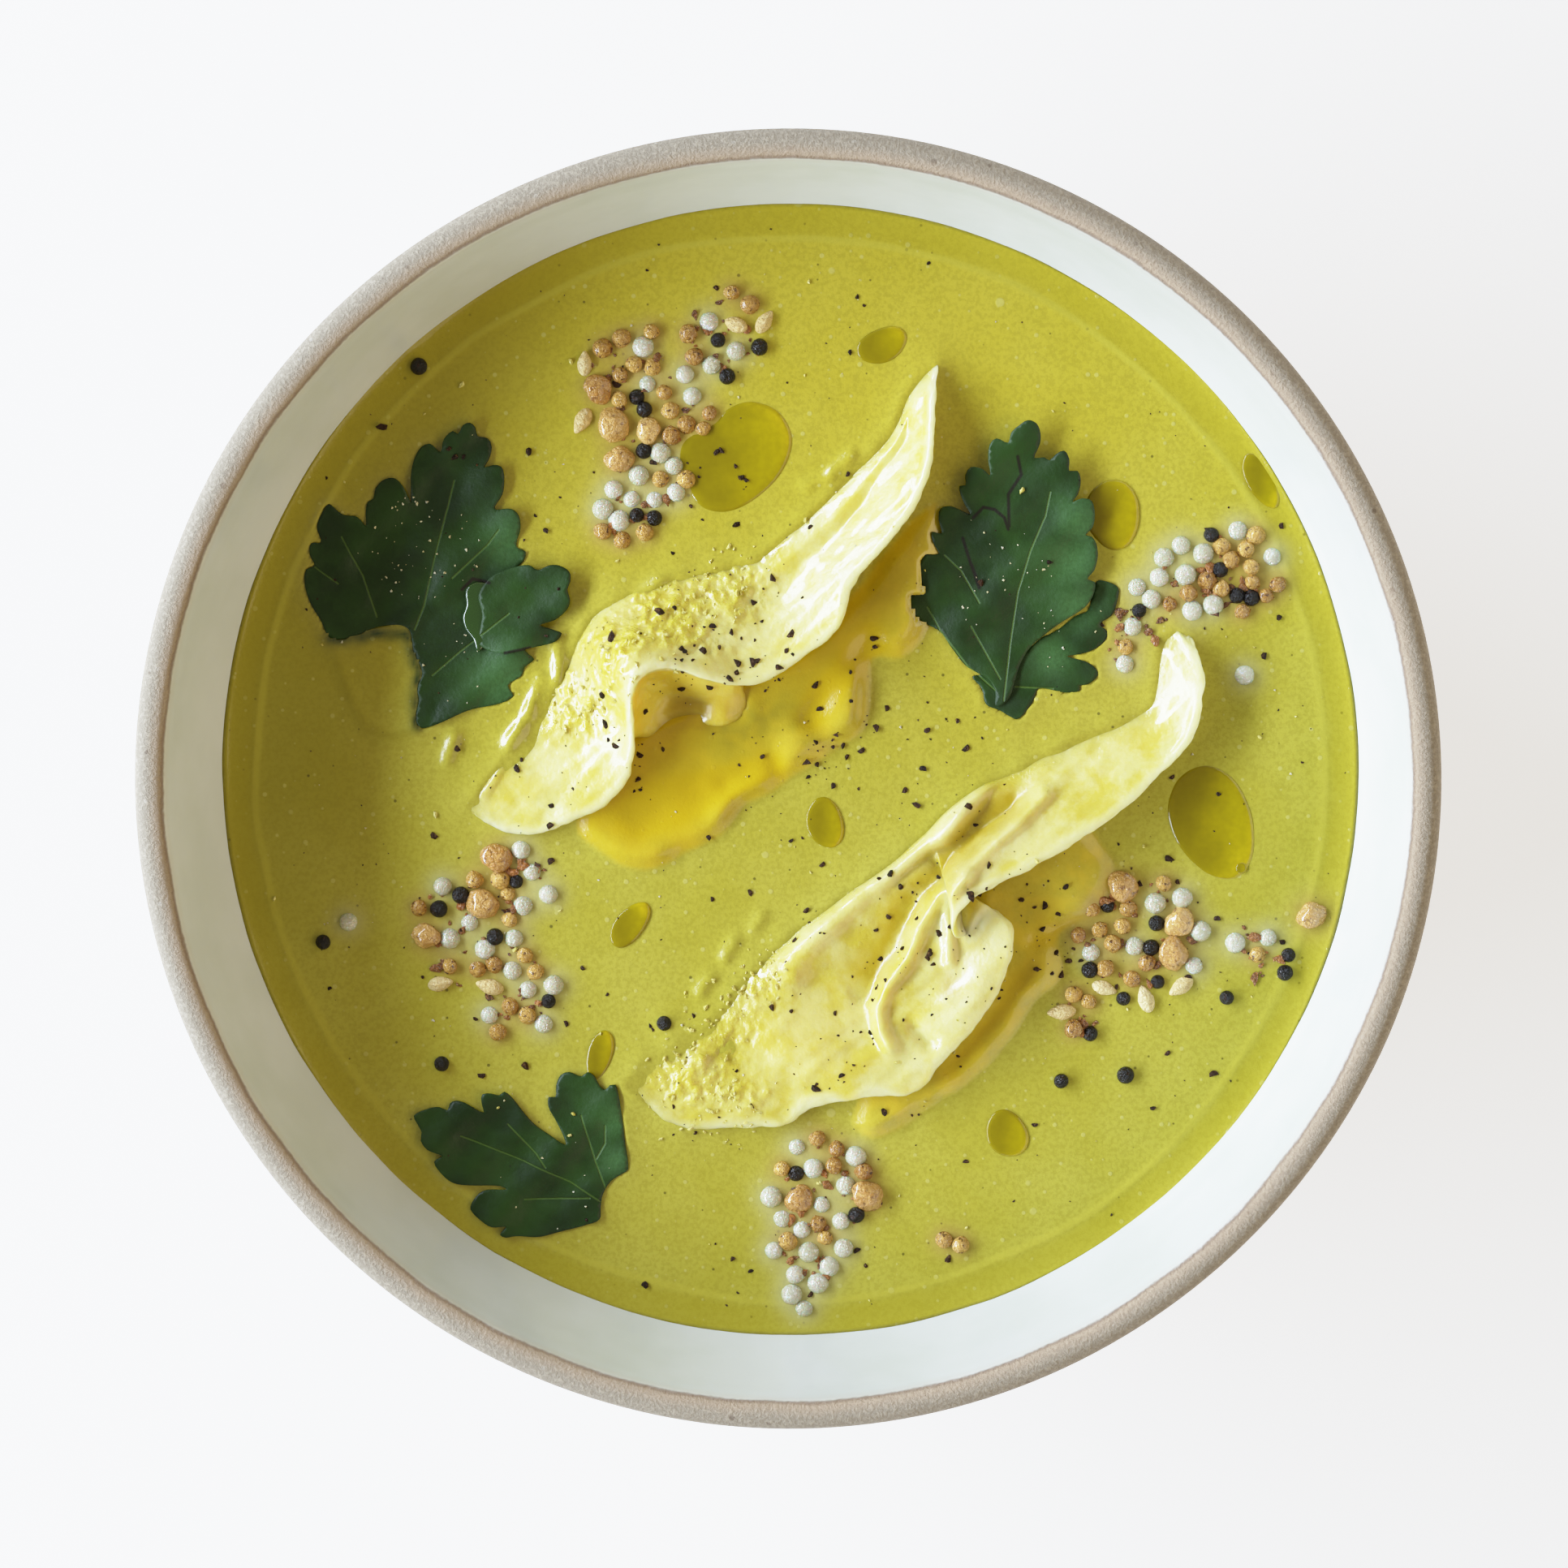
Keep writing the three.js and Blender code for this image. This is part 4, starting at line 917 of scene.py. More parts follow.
# Middle, lift, wave and tilt follow the solids. Each sheet is (raise, outline), each vein and slit a line of
# corners, the sheen list gives (x, y, radius) of the places painted with a bluish sheen, painted light where
# the leaf tilts towards the window, and dust falls in discs of (x, y, radius, count).
leaf_forms = {
    "parsley_leaf_1": {
        "middle": (-47, 26), "lift": 0.7, "wave": 0.8, "tilt": (0.012, 0.01),
        "sheets": [(0, left_leaf), (0.7, left_fold)],
        "veins": [[(-49.8, 19.3), (-48.5, 22.5), (-47, 29.2), (-45.3, 35.5), (-44.4, 39.1)],
                  [(-54.8, 21), (-56.6, 26.4), (-59.4, 31.6)], [(-59.9, 25.4), (-63, 27.6)],
                  [(-44.7, 26.2), (-40, 30.6), (-38.5, 32.6)],
                  [(-47.5, 13.2), (-43.9, 16.3), (-37.2, 21.5)]],
        "slits": [[(-43.4, 24.7), (-42, 26.1), (-39.8, 25.6)], [(-37.7, 16.3), (-34.4, 17)]],
        "painted_sheen": [(-37.6, 31.4, 3.4), (-38.6, 13, 4.2)], "dust": [(-48, 30, 7.5, 60), (-45, 14, 5, 14)]},
    "parsley_leaf_2": {
        "middle": (29, 28), "lift": 1.4, "wave": 0.55, "tilt": (0.02, 0.035),
        "sheets": [(0, middle_leaf), (-0.9, middle_under)],
        "veins": [[(28.5, 10), (29.3, 17.5), (30.3, 24.5), (31.9, 29.9), (33.9, 34.6), (34.5, 37.7)],
                  [(27.3, 11.4), (23.6, 14.7), (20, 19.4), (18.4, 22.4)], [(28, 12.9), (24.1, 19.9)],
                  [(25.2, 23), (22.8, 27.2), (20.6, 29.3)], [(30.1, 11.8), (35, 11.6)]],
        "slits": [[(23, 31.6), (24, 28.4), (24.8, 26.4)], [(24.2, 28), (25.2, 25)],
                  [(29.1, 33.2), (29, 37.4), (30.7, 40), (30.2, 42.4)],
                  [(24.4, 34.3), (25.7, 35.7), (27.2, 35.4), (28.5, 34.3), (29, 32.8)]],
        "painted_sheen": [(37.4, 28.4, 3.8), (38.2, 33.8, 3.4), (35, 15.6, 2.6), (38, 22.5, 3)],
        "dust": [(29, 26, 8.5, 30), (36, 18, 5, 10)]},
    "parsley_leaf_3": {
        "middle": (-34, -52), "lift": 0.9, "wave": 0.7, "tilt": (-0.015, 0.01),
        "sheets": [(0, lower_leaf)],
        "veins": [[(-25.3, -57.6), (-29.4, -54.9), (-35.8, -52), (-44, -48.7)],
                  [(-26.8, -57.1), (-35.5, -57.3)],
                  [(-24.6, -55.9), (-26, -52.2), (-27.9, -45.9)],
                  [(-25.9, -51.8), (-24.7, -49.7), (-24.7, -47.3)],
                  [(-32.7, -52.9), (-33.9, -51.1), (-37.7, -47.1)]],
        "slits": [], "painted_sheen": [(-23.6, -46.5, 2.2), (-23.4, -52, 2)], "dust": [(-34, -52, 10, 12)]},
}


def leaf_height(form, points):
    x = points[:, 0] - form["middle"][0]
    y = points[:, 1] - form["middle"][1]
    ripple = np.sin(x * 0.42 + 0.6) * np.cos(y * 0.33 - 0.4) + 0.5 * np.sin((x - y) * 0.7)
    height = form["lift"] + x * form["tilt"][0] + y * form["tilt"][1] + form["wave"] * 0.5 * ripple
    return soup_level + np.maximum(0.3, height - leaf_sink)


def inside_points(outline, step):
    """Points of an even honeycomb that lie inside a closed outline."""
    corners = np.array(outline)
    low, high = corners.min(0), corners.max(0)
    rows = np.arange(low[1], high[1], step * 0.866)
    found = []
    for number, y in enumerate(rows):
        across = np.arange(low[0] + (number % 2) * step / 2, high[0], step)
        crossings = sorted(x0 + (y - y0) * (x1 - x0) / (y1 - y0)
                           for (x0, y0), (x1, y1) in zip(corners, np.roll(corners, -1, axis=0))
                           if (y0 > y) != (y1 > y))
        for enter, leave in zip(crossings[::2], crossings[1::2]):
            found += [(x, y) for x in across if enter + step * 0.45 < x < leave - step * 0.45]
    return found


def filled_outline(name, outline, step):
    """A flat sheet of even triangles inside a closed outline."""
    rim = [tuple(point) for point in outline]
    loose = [Vector(point) for point in rim + inside_points(rim, step)]
    edges = [(index, (index + 1) % len(rim)) for index in range(len(rim))]
    corners, _, faces, *_ = geometry.delaunay_2d_cdt(loose, edges, [], 1, 1e-5)
    mesh = bpy.data.meshes.new(name)
    mesh.from_pydata([(x * mm, y * mm, 0) for x, y in corners], [], faces)
    return linked(name, mesh)


def leaf_sheet(form, lift, outline):
    leaf = filled_outline("sheet", smooth_line(outline, leaf_step, closed=True), leaf_step)
    points = points_of(leaf)
    veins = np.min([line_distance(points[:, :2], line) for line in form["veins"]], axis=0)
    points[:, 2] = np.maximum(leaf_height(form, points) + lift, soup_level + 0.25)
    points[:, 2] += vein_depth * (1 - np.exp(-veins / 1.3)) + 0.05 * noise_at(points, 2.2, 2)
    set_points(leaf, points)
    into_edit(leaf)
    bpy.ops.mesh.normals_make_consistent(inside=False)
    out_of_edit()
    if normals_of(leaf)[:, 2].mean() < 0:
        into_edit(leaf)
        bpy.ops.mesh.flip_normals()
        out_of_edit()
    apply_modifier(leaf, "SOLIDIFY", thickness=leaf_thickness * mm, offset=-1)
    return leaf


def make_leaf(node_name, form):
    sheets = [leaf_sheet(form, lift, outline) for lift, outline in form["sheets"]]
    leaf = joined("leaf_" + node_name[-1], sheets)
    # painted sheen: the places where the lobes tilt towards the window
    paint(leaf, "painted_sheen", near_places(points_of(leaf), form["painted_sheen"]))
    return leaf


parsley = {name: make_leaf(name, form) for name, form in leaf_forms.items()}
print("leaves:", [leaf.name for leaf in parsley.values()])

# %% [markdown]
# ## The parsley's finish
# The upper side is a dark green with a waxy sheen and fine pale veins. Each leaf has its own strokes, so
# each gets its own copy of the finish. The lobes that tilt towards the window are painted bluish: a painted
# sheen. Slits, creases and the edges where lobes overlap are painted dark and thin: painted shade.
# %% Parsley material
leaf_dark = rgb(24, 44, 14)
leaf_mid = rgb(38, 66, 22)
painted_sheen_blue = rgb(62, 98, 52)
vein_green = rgb(94, 124, 52)
painted_slit_shade = rgb(24, 16, 12)
vein_width = 0.2
slit_width = 0.34


def make_parsley(name, form):
    material, shader = new_material(name, specular_ior_level=0.3)
    sheen_mottle = between(clouds(0.45, 2), 0.3, 0.7, 0.7, 1.0)
    veins = line_mask(form["veins"], vein_width)
    # painted sheen: the tilted lobes get a lighter bluish green
    body = layered(leaf_dark, (between(clouds(7, 3), 0.3, 0.7), leaf_mid),
                   (painted("painted_sheen") * sheen_mottle, painted_sheen_blue), (veins * 0.4, vein_green))
    if form["slits"]:
        # painted shade in the slits, creases and along overlapping lobes
        body = blend(line_mask(form["slits"], slit_width) * 0.9, body, painted_slit_shade)
    cells = clouds(0.7, 3, 0.6) * 0.8
    dress(shader, base_color=body, roughness=between(clouds(3, 2), 0.3, 0.7, 0.4, 0.55),
          normal=bump(veins * -1.0 + cells, 0.1))
    return material


for name, leaf in parsley.items():
    finish_piece(leaf, make_parsley("parsley_" + name[-1], leaf_forms[name]), "parsley", name)

# %% [markdown]
# ## Where the grains fall
# Pearls, toasted grains, sesame and mustard seeds lie in five loose clusters. Their places come from the
# same rule and the same stream of numbers as in the solids: every patch is a disc that grains drop into,
# the largest first, each clear of those that lie there. Grains that would touch dough or leaf are left out.
# %% Grain places
grain_sizes = {  # half sizes: long, wide, high
    "lump": (1.95, 1.7, 1.3), "pearl": (1.3, 1.3, 1.25), "toasted": (1.1, 1.05, 1.0),
    "sesame": (1.75, 1.0, 0.75), "mustard": (1.0, 1.0, 0.95)}
# (x, y, radius) and how many lumps, pearls, toasted grains, sesame and mustard seeds
patches = [
    ((-19.3, 50, 9), (4, 5, 14, 2, 2)), ((-18.8, 40.6, 5.6), (0, 7, 5, 0, 3)),
    ((-21.6, 34.4, 3.8), (0, 2, 3, 0, 3)), ((-8.2, 58.4, 5.6), (0, 3, 3, 2, 3)),
    ((51.6, 25, 6.2), (0, 10, 6, 1, 1)), ((59.2, 27.4, 5.8), (0, 2, 9, 3, 4)),
    ((45.4, 18.6, 4.2), (0, 4, 4, 0, 1)), ((-43.4, -21.4, 8.2), (2, 5, 7, 3, 3)),
    ((-36.4, -14.6, 4.6), (1, 4, 1, 0, 1)), ((-36.8, -29.4, 5.8), (0, 5, 5, 2, 1)),
    ((46.8, -22, 8.4), (3, 6, 10, 7, 7)), ((39.6, -31.6, 3.6), (0, 0, 3, 1, 1)),
    ((62.8, -23.6, 4.4), (0, 2, 1, 0, 2)), ((4.6, -55.8, 7.2), (2, 9, 6, 0, 2)),
    ((2.6, -64, 4.8), (0, 6, 4, 0, 0)), ((1.8, -70.2, 2.4), (0, 4, 0, 0, 0))]
strays = [
    ("mustard", -62.4, -22.6), ("pearl", -59, -19.9), ("mustard", -46.6, -39), ("toasted", 20.8, -62.6),
    ("toasted", 23, -63.3), ("lump", 69.6, -18.6), ("mustard", 45, -40.2), ("mustard", 36.4, -41),
    ("pearl", 60.4, 13.4), ("mustard", -49, 54.2), ("mustard", 58.4, -29.7), ("mustard", -16.7, -33.4)]
grain_tries = 60
grain_closeness = 0.94  # grains of a cluster may press together a little
grain_gap = 0.1


def number_stream(start):
    """An endless repeatable row of numbers between 0 and 1."""
    state = start
    while True:
        state = (state * 1664525 + 1013904223) % 2 ** 32
        yield state / 2 ** 32


def in_disc(random, x, y, radius):
    """A place in a disc by chance, and the angle at which it lies."""
    far = radius * math.sqrt(next(random))
    angle = 2 * math.pi * next(random)
    return x + far * math.cos(angle), y + far * math.sin(angle), angle


def surface_tree(pieces):
    """One search tree over the faces of several pieces, in millimetres."""
    points, faces = [], []
    for piece in pieces:
        shift = len(points)
        points += [tuple(point) for point in points_of(piece)]
        faces += [[index + shift for index in face.vertices] for face in piece.data.polygons]
    return BVHTree.FromPolygons(points, faces)


def scatter_grains(obstacles):
    """All grains as (kind, x, y, turn, half length)."""
    random = number_stream(20611)
    placed = [(kind, x, y, x + y, grain_sizes[kind][0]) for kind, x, y in strays]
    for patch, counts in patches:
        for kind, count in zip(grain_sizes, counts):
            size = grain_sizes[kind][0]
            for _ in range(count):
                for _ in range(grain_tries):
                    x, y, angle = in_disc(random, *patch)
                    if all(math.hypot(one[1] - x, one[2] - y) > grain_closeness * (one[4] + size)
                           for one in placed):
                        placed.append((kind, x, y, angle * 3, size))
                        break
    return [grain for grain in placed if obstacles.find_nearest(
        Vector((grain[1], grain[2], soup_level)))[3] > grain[4] + grain_gap]


dumplings = [dumpling_upper, dumpling_lower]
dough_tree = surface_tree(dumplings)
leaf_tree = surface_tree(parsley.values())
grains = scatter_grains(surface_tree([*dumplings, *parsley.values()]))
print("grains:", {kind: sum(grain[0] == kind for grain in grains) for kind in grain_sizes})

# %% [markdown]
# ## The soup's shape
# Thick soup is not flat: it climbs the wall and the dough in a small curve, swells over the sunk bellies of
# the dumplings and stands up round every grain. The top is a fine square grid that is pressed into a disc,
# because a grid has even faces everywhere while a fan of rings crowds its middle. Its edge is extruded down
# along the wall and closed below, so the soup stays a solid body.
# %% Soup disc
soup_radius = 75.36  # reaches just into the wall, so no gap shows
grid_steps = 280


def round_grid(name, radius, steps):
    """A square grid pressed into a disc."""
    start_piece()
    bpy.ops.mesh.primitive_grid_add(x_subdivisions=steps, y_subdivisions=steps, size=2)
    disc = named(name)
    flat = points_of(disc) * mm
    x, y = flat[:, 0], flat[:, 1]
    pressed = np.column_stack([x * np.sqrt(1 - y * y / 2), y * np.sqrt(1 - x * x / 2), 0 * x])
    set_points(disc, pressed * radius + [0, 0, soup_level])
    return disc


def close_below(disc, rings):
    """Extrudes the disc's edge down along rings of (radius, height) and closes the bottom."""
    into_edit(disc)
    bpy.ops.mesh.region_to_loop()
    radius, height = soup_radius, soup_level
    for next_radius, next_height in rings:
        scale = next_radius / radius
        down = (0, 0, (next_height - height) * mm)
        bpy.ops.mesh.extrude_region_move(TRANSFORM_OT_translate={"value": down})
        bpy.ops.transform.resize(value=(scale, scale, 1), center_override=(0, 0, next_height * mm))
        radius, height = next_radius, next_height
    bpy.ops.mesh.merge(type="CENTER")
    out_of_edit()


soup = round_grid("soup_body", soup_radius, grid_steps)
top_count = len(soup.data.vertices)
wall_rings = [(radius - 0.33, height + 0.3) for radius, height in inside_wall if height < soup_level]
close_below(soup, [(74.6, soup_level - 1)] + wall_rings[:-1])
print("soup top has", top_count, "points")

# %% [markdown]
# Now the top points are raised. Each belly is an outline with humps and hollows inside it, all read from
# the photograph. Under a leaf the soup stays below it. A part of the first leaf is drowned: only its shore
# shows green through the soup, and its edge as a faint line. How much dough shows through the film, how
# milky the soup is between pearls and how brown between toasted grains are painted on the points.
# %% Soup surface
# The outlines of the bellies under the film, the part under the dough's rim included.
upper_belly = [
    (19.8, 36.3), (20.2, 27.6), (18.2, 18.9), (15.1, 15.3), (11.3, 15.3), (10.9, 9.3), (9.6, 5.6),
    (4.2, 1.7), (0.1, -0.8), (-2.6, -2.9), (-5.8, -4.3), (-9, -8.3), (-13.4, -10.5), (-16.7, -12.4),
    (-20.8, -13), (-23.7, -11.6), (-28.6, -7), (-25, 3), (-14, 10), (-2, 16), (8, 24), (16, 34)]
lower_belly = [
    (38, -5), (41.6, -8.8), (43.5, -11.5), (43.2, -15.3), (40.7, -18.7), (36.3, -21.2), (36, -23),
    (36.8, -25.5), (36, -28), (33.8, -29.5), (31.7, -32.3), (27.3, -38.5), (22.4, -42.6), (19, -44.7),
    (14.9, -47.9), (11, -49), (8.2, -46.5), (12, -36), (20, -22), (30, -8)]
# Humps and hollows in them: (height, width, corners).
belly_folds = [
    (0.9, 3.2, [(14.5, 24), (15, 20)]), (1.0, 2.8, [(7.5, 13), (7.6, 8.5)]),
    (0.8, 2.2, [(1.6, 5.6), (0.6, 3.4)]), (-0.7, 1.6, [(11, 18), (4, 9.5), (2.6, 7.5)]),
    (-0.7, 1.8, [(-2, 1), (-8, -1)]), (0.6, 1.8, [(-3.5, 0.4), (-9, -5)]),
    (0.5, 2, [(-26, -9), (-18, -11.4)]), (-0.5, 3, [(-20, -5), (-12, -3)]),
    (0.5, 2.4, [(36, -12), (38, -16)]), (-0.6, 1.5, [(39, -20), (33, -22)]),
    (0.6, 2.2, [(33.5, -26.5), (31, -29)]), (0.5, 1.6, [(30, -33.5), (20, -43)]),
    (-0.5, 1.6, [(31, -27), (22, -39.5)]), (0.4, 2, [(15, -45), (10, -47.5)])]
# Where the first leaf dips under the soup, and the faint outline of the part that lies below.
leaf_shore = [
    (-61, 18.2), (-58, 18), (-55, 18.8), (-51, 18.6), (-50.2, 16.6), (-49.2, 13.6), (-49.8, 10),
    (-49.6, 6.6)]
drowned_edge = [(-61, 18), (-59.8, 14), (-58.4, 9.8), (-56.6, 6.4), (-53, 4.9), (-49.5, 6)]
# The patch below is painted darker where the upper belly lies under the deepest film and its swell faces the
# window: partly film, partly painted shade.
sunk_belly_shade = [(-8.0, 5.4), (-1.5, 8.6)]  # the part of the upper belly under the deepest film
# Ridges where soup is drawn up against the dough: (height, width, corners). Their sides catch the window.
wet_ridges = [
    (0.7, 0.95, [(-31.3, 18.6), (-30.6, 15.6), (-30.6, 12.9)]),
    (0.7, 0.95, [(-33, 12.6), (-34.8, 8), (-37.3, 4.4)]), (0.7, 0.9, [(-44.6, 5.2), (-45.6, 2)]),
    (0.6, 0.9, [(-19.5, 23.8), (-17, 25.6)]), (0.6, 0.9, [(2.4, 38.6), (5, 39.6), (8.2, 42.4)]),
    (0.6, 0.9, [(-7.4, -22.4), (-8.6, -24.4)]), (0.6, 0.9, [(-3.6, -19), (-4.6, -20.2)]),
    (0.6, 0.9, [(-10.6, -27.4), (-11.8, -29)])]
film_reach = 1.5  # dough lower than this above the soup may be coated by it
dough_cover = 0.3  # how far the soup stays below dough and leaf
leaf_cover = 0.03
no_food = 999.0
stain_reach = {"lump": 2.6, "pearl": 2.2, "toasted": 1.9, "sesame": 1.6, "mustard": 1.6}


def depth_inside(points, outline):
    """Millimetres inside a closed outline, below 0 outside it."""
    corners = [tuple(corner) for corner in smooth_line(outline, 1.2, closed=True)]
    flat = points[:, :2]
    inside = np.zeros(len(flat), dtype=bool)
    for (x0, y0), (x1, y1) in zip(corners, corners[1:] + corners[:1]):
        if y0 != y1:
            spans = (y0 > flat[:, 1]) != (y1 > flat[:, 1])
            inside ^= spans & (flat[:, 0] < x0 + (flat[:, 1] - y0) * (x1 - x0) / (y1 - y0))
    return np.where(inside, 1, -1) * line_distance(flat, corners + corners[:1])


def food_height(points, tree, start, upward, lowest):
    """Height of the food that a ray from the start meets, or a far height where there is none."""
    heights = np.full(len(points), no_food)
    for index, (x, y, _) in enumerate(points):
        hit = tree.ray_cast(Vector((x, y, start)), Vector((0, 0, upward)))[0]
        if hit is not None and hit.z > lowest:
            heights[index] = hit.z
    return heights


def surface_distance(points, tree, reach):
    """Millimetres to the nearest food within reach, or the reach itself."""
    found = [tree.find_nearest(Vector(point), reach)[3] for point in points]
    return np.array([reach if away is None else away for away in found])


def near_grains(points, kinds):
    """How close each point is to grains of some kinds, from 0 to 1."""
    near = np.zeros(len(points))
    for kind, x, y, _, _ in grains:
        if kind in kinds:
            away = np.hypot(points[:, 0] - x, points[:, 1] - y) / stain_reach[kind]
            near = 1 - (1 - near) * (1 - 0.85 * np.exp(-away ** 2))
    return near


def raised_top(top, from_wall, belly):
    """The height of every point of the soup's top, and how far it climbs the wall."""
    climb = 0.75 * np.exp(-np.maximum(from_wall, 0) / 0.8) * (1 + 0.25 * noise_at(top, 9, 17))
    shore = smoothstep(belly, -0.5, 2.8)
    swell = shore * (1.0 + 0.9 * strokes(top, belly_folds) + 0.2 * noise_at(top, 5, 12))
    uneven = 0.85 + 0.35 * noise_at(top, 3.5, 21)
    cling = 0.95 * uneven * np.exp(-surface_distance(top, dough_tree, 6) / 2.0)
    cling += 0.4 * np.exp(-surface_distance(top, leaf_tree, 4) / 1.6)
    grain_swell = 0.3 * near_grains(top, grain_sizes)
    slow = 0.10 * noise_at(top, 17, 3) + 0.035 * noise_at(top, 4, 8)
    ridge = 0.10 * np.exp(-((from_wall - 4.1 - 0.5 * noise_at(top, 22, 5)) / 0.55) ** 2)
    height = top[:, 2] + climb + swell + cling + grain_swell + slow + ridge
    height += strokes(top, [(0.25, 1.6, leaf_shore), (0.22, 1.0, drowned_edge)])
    height += strokes(top, wet_ridges) * (1 + 0.5 * noise_at(top, 1.6, 31))
    return height, climb


def shape_soup_top():
    points = points_of(soup)
    top = points[:top_count]
    from_wall = soup_radius - np.hypot(top[:, 0], top[:, 1])
    belly = np.maximum(depth_inside(top, upper_belly), depth_inside(top, lower_belly))
    belly = belly + 0.25 * noise_at(top, 3, 2)
    height, climb = raised_top(top, from_wall, belly)
    pushed = (0.4 * climb + 0.04 * np.exp(-from_wall)) / np.maximum(soup_radius - from_wall, 1)
    top[:, :2] *= (1 + pushed)[:, None]
    under_leaf = food_height(top, leaf_tree, 30, 1, 0) - leaf_cover
    under_dough = food_height(top, dough_tree, 90, -1, soup_level + film_reach) - dough_cover
    top[:, 2] = np.minimum(np.minimum(height, under_leaf), under_dough)
    points[:top_count] = top
    set_points(soup, points)
    return top, from_wall, belly


def paint_soup(top, from_wall, belly):
    """Paints every mask of the soup's finish; the points below the top get 0."""
    seen = smoothstep(belly, -0.1, 0.9)
    in_lower = depth_inside(top, lower_belly) > 0
    # painted shade: the bellies turn a deeper gold near the dough, where its lips shade them; in the hollows
    # the gold is partly pooled soup, partly painted shade
    painted_flange_shade = np.exp(-(surface_distance(top, dough_tree, 9) / 4.2) ** 2) * np.where(in_lower, 0.4, 1.0)
    valleys = strokes(top, [(-high, 1.3 * width, line) for high, width, line in belly_folds if high < 0])
    wet = np.exp(-surface_distance(top, dough_tree, 5) / 2)
    wet += np.exp(-surface_distance(top, leaf_tree, 4) / 1.2)
    blurred = 1 + 0.5 * noise_at(top, 1.4, 3)
    masks = {
        "belly_seen": seen, "belly_gold_and_shade": seen * np.clip(painted_flange_shade + 1.1 * valleys, 0, 1),
        "wet": np.clip(1.4 * wet, 0, 1), "milky": near_grains(top, ("pearl",)),
        "toast": near_grains(top, ("toasted", "lump")), "from_wall": from_wall,
        "greenish": strokes(top, [(0.85, 1.0, leaf_shore)]) * blurred,
        # The next mask darkens the faint edge of the drowned leaf and the sunk belly patch, the patch partly
        # with painted shade.
        "drowned_and_shade": strokes(top, [(0.5, 0.7, drowned_edge), (0.6, 4, sunk_belly_shade)]) * blurred}
    below = np.zeros(len(soup.data.vertices) - top_count)
    for name, values in masks.items():
        paint(soup, name, np.concatenate([values, below]))


paint_soup(*shape_soup_top())
print("soup rises", round(float(points_of(soup)[:top_count, 2].max()) - soup_level, 2), "mm at most")

# %% [markdown]
# ## The soup's finish
# Its colour is the shared soup colour, more golden in the outermost ring where it is thin over the wall.
# Over the bellies the cream of the dough comes through, and milk and toast stain it round the grains.
# Near the dough and along the bellies' hollows it is painted a deeper gold: partly soup that gathers there,
# partly painted shade of the dumplings' lips.
# %% Soup material
belly_pale = rgb(214, 188, 56)
belly_gold_and_shade = rgb(200, 168, 4)
milk = rgb(186, 182, 130)
toast = rgb(168, 136, 76)
outer_gold = rgb(164, 150, 26)
ring_gold = rgb(186, 176, 62)
leaf_tinge = rgb(52, 66, 24)


def make_soup():
    material, shader = new_material("soup", subsurface_weight=0.12, subsurface_scale=1.5 * mm,
                                    subsurface_radius=(1.0, 0.9, 0.3), specular_ior_level=0.3,
                                    coat_roughness=0.05)
    shared = group_of("soup_colour")
    from_wall = painted("from_wall") + (clouds(20, 2) - 0.5) * 2.0
    on_ring = between(from_wall, 3.5, 4.0) * between(from_wall, 4.3, 5.0, 1.0, 0.0)
    cloudy = between(clouds(4, 3), 0.38, 0.66, 0.3, 0.85)
    colour = layered(shared["Color"], (between(from_wall, 2.6, 4.6, 0.4, 0.0), outer_gold),
                     (on_ring * 0.5, ring_gold), (painted("belly_seen") * cloudy, belly_pale),
                     (painted("belly_gold_and_shade") * 0.85, belly_gold_and_shade), (painted("milky") * 0.75, milk),
                     (painted("toast") * 0.8, toast), (painted("drowned_and_shade"), soup_shade),
                     (painted("greenish"), leaf_tinge))
    dress(shader, base_color=colour, roughness=between(clouds(2, 2), 0.3, 0.7, 0.16, 0.24),
          coat_weight=painted("wet"), normal=bump(shared["Height"], 0.05))
    return material


finish_piece(soup, make_soup(), "soup", "soup")

# %% [markdown]
# ## Oil drops
# Olive oil floats in flat drops with sharp edges. Its colour is painted darker and more olive than the soup
# on the side towards the window, and more golden with a bright rim on the far side: painted light for the
# light that the lens gathers there. Each drop is a circle primitive pushed into its own outline, then
# extruded and drawn in four times, which gives the low dome that surface tension makes. A drop of clear
# water lies on the first leaf in the same way and shows the leaf's own green.
# %% Oil drops
# (x, y, half width, half height, turn in degrees)
oil_places = [
    (12.3, 57, 3.5, 2.3, 20), (42.8, 34.7, 3.7, 4.7, 0), (62.4, 39.3, 1.9, 4.2, 28),
    (56.3, -6.2, 5.4, 8.0, 25), (60.2, -12.3, 0.8, 0.8, 0), (4.8, -6.4, 2.5, 3.5, 18),
    (-21.3, -20.2, 2.0, 3.6, -38), (-25.4, -37.8, 1.7, 3.6, -14), (29.2, -48.2, 2.7, 3.4, 25)]
bean_drop = [
    (-14.1, 44.5), (-12, 46.2), (-9.8, 47.1), (-8, 48.8), (-5, 49.7), (-1.5, 48.4), (0.4, 45.3),
    (0, 42.1), (-2, 38.8), (-5.4, 36), (-8.5, 34.9), (-11.5, 35.5), (-13.7, 38.2), (-15, 40.8),
    (-14.8, 42.9)]
leaf_drop = [
    (-42.8, 25), (-41.6, 25.7), (-39.8, 25.6), (-38.8, 25.9), (-38.6, 24.6), (-39.6, 22.6), (-40, 20.6),
    (-40.2, 18.6), (-40.6, 17), (-41.4, 16.4), (-42, 18), (-43, 19.4), (-43.4, 21), (-42.9, 22.6),
    (-43, 24)]
oil_rise = 0.32
oil_sink = 0.15


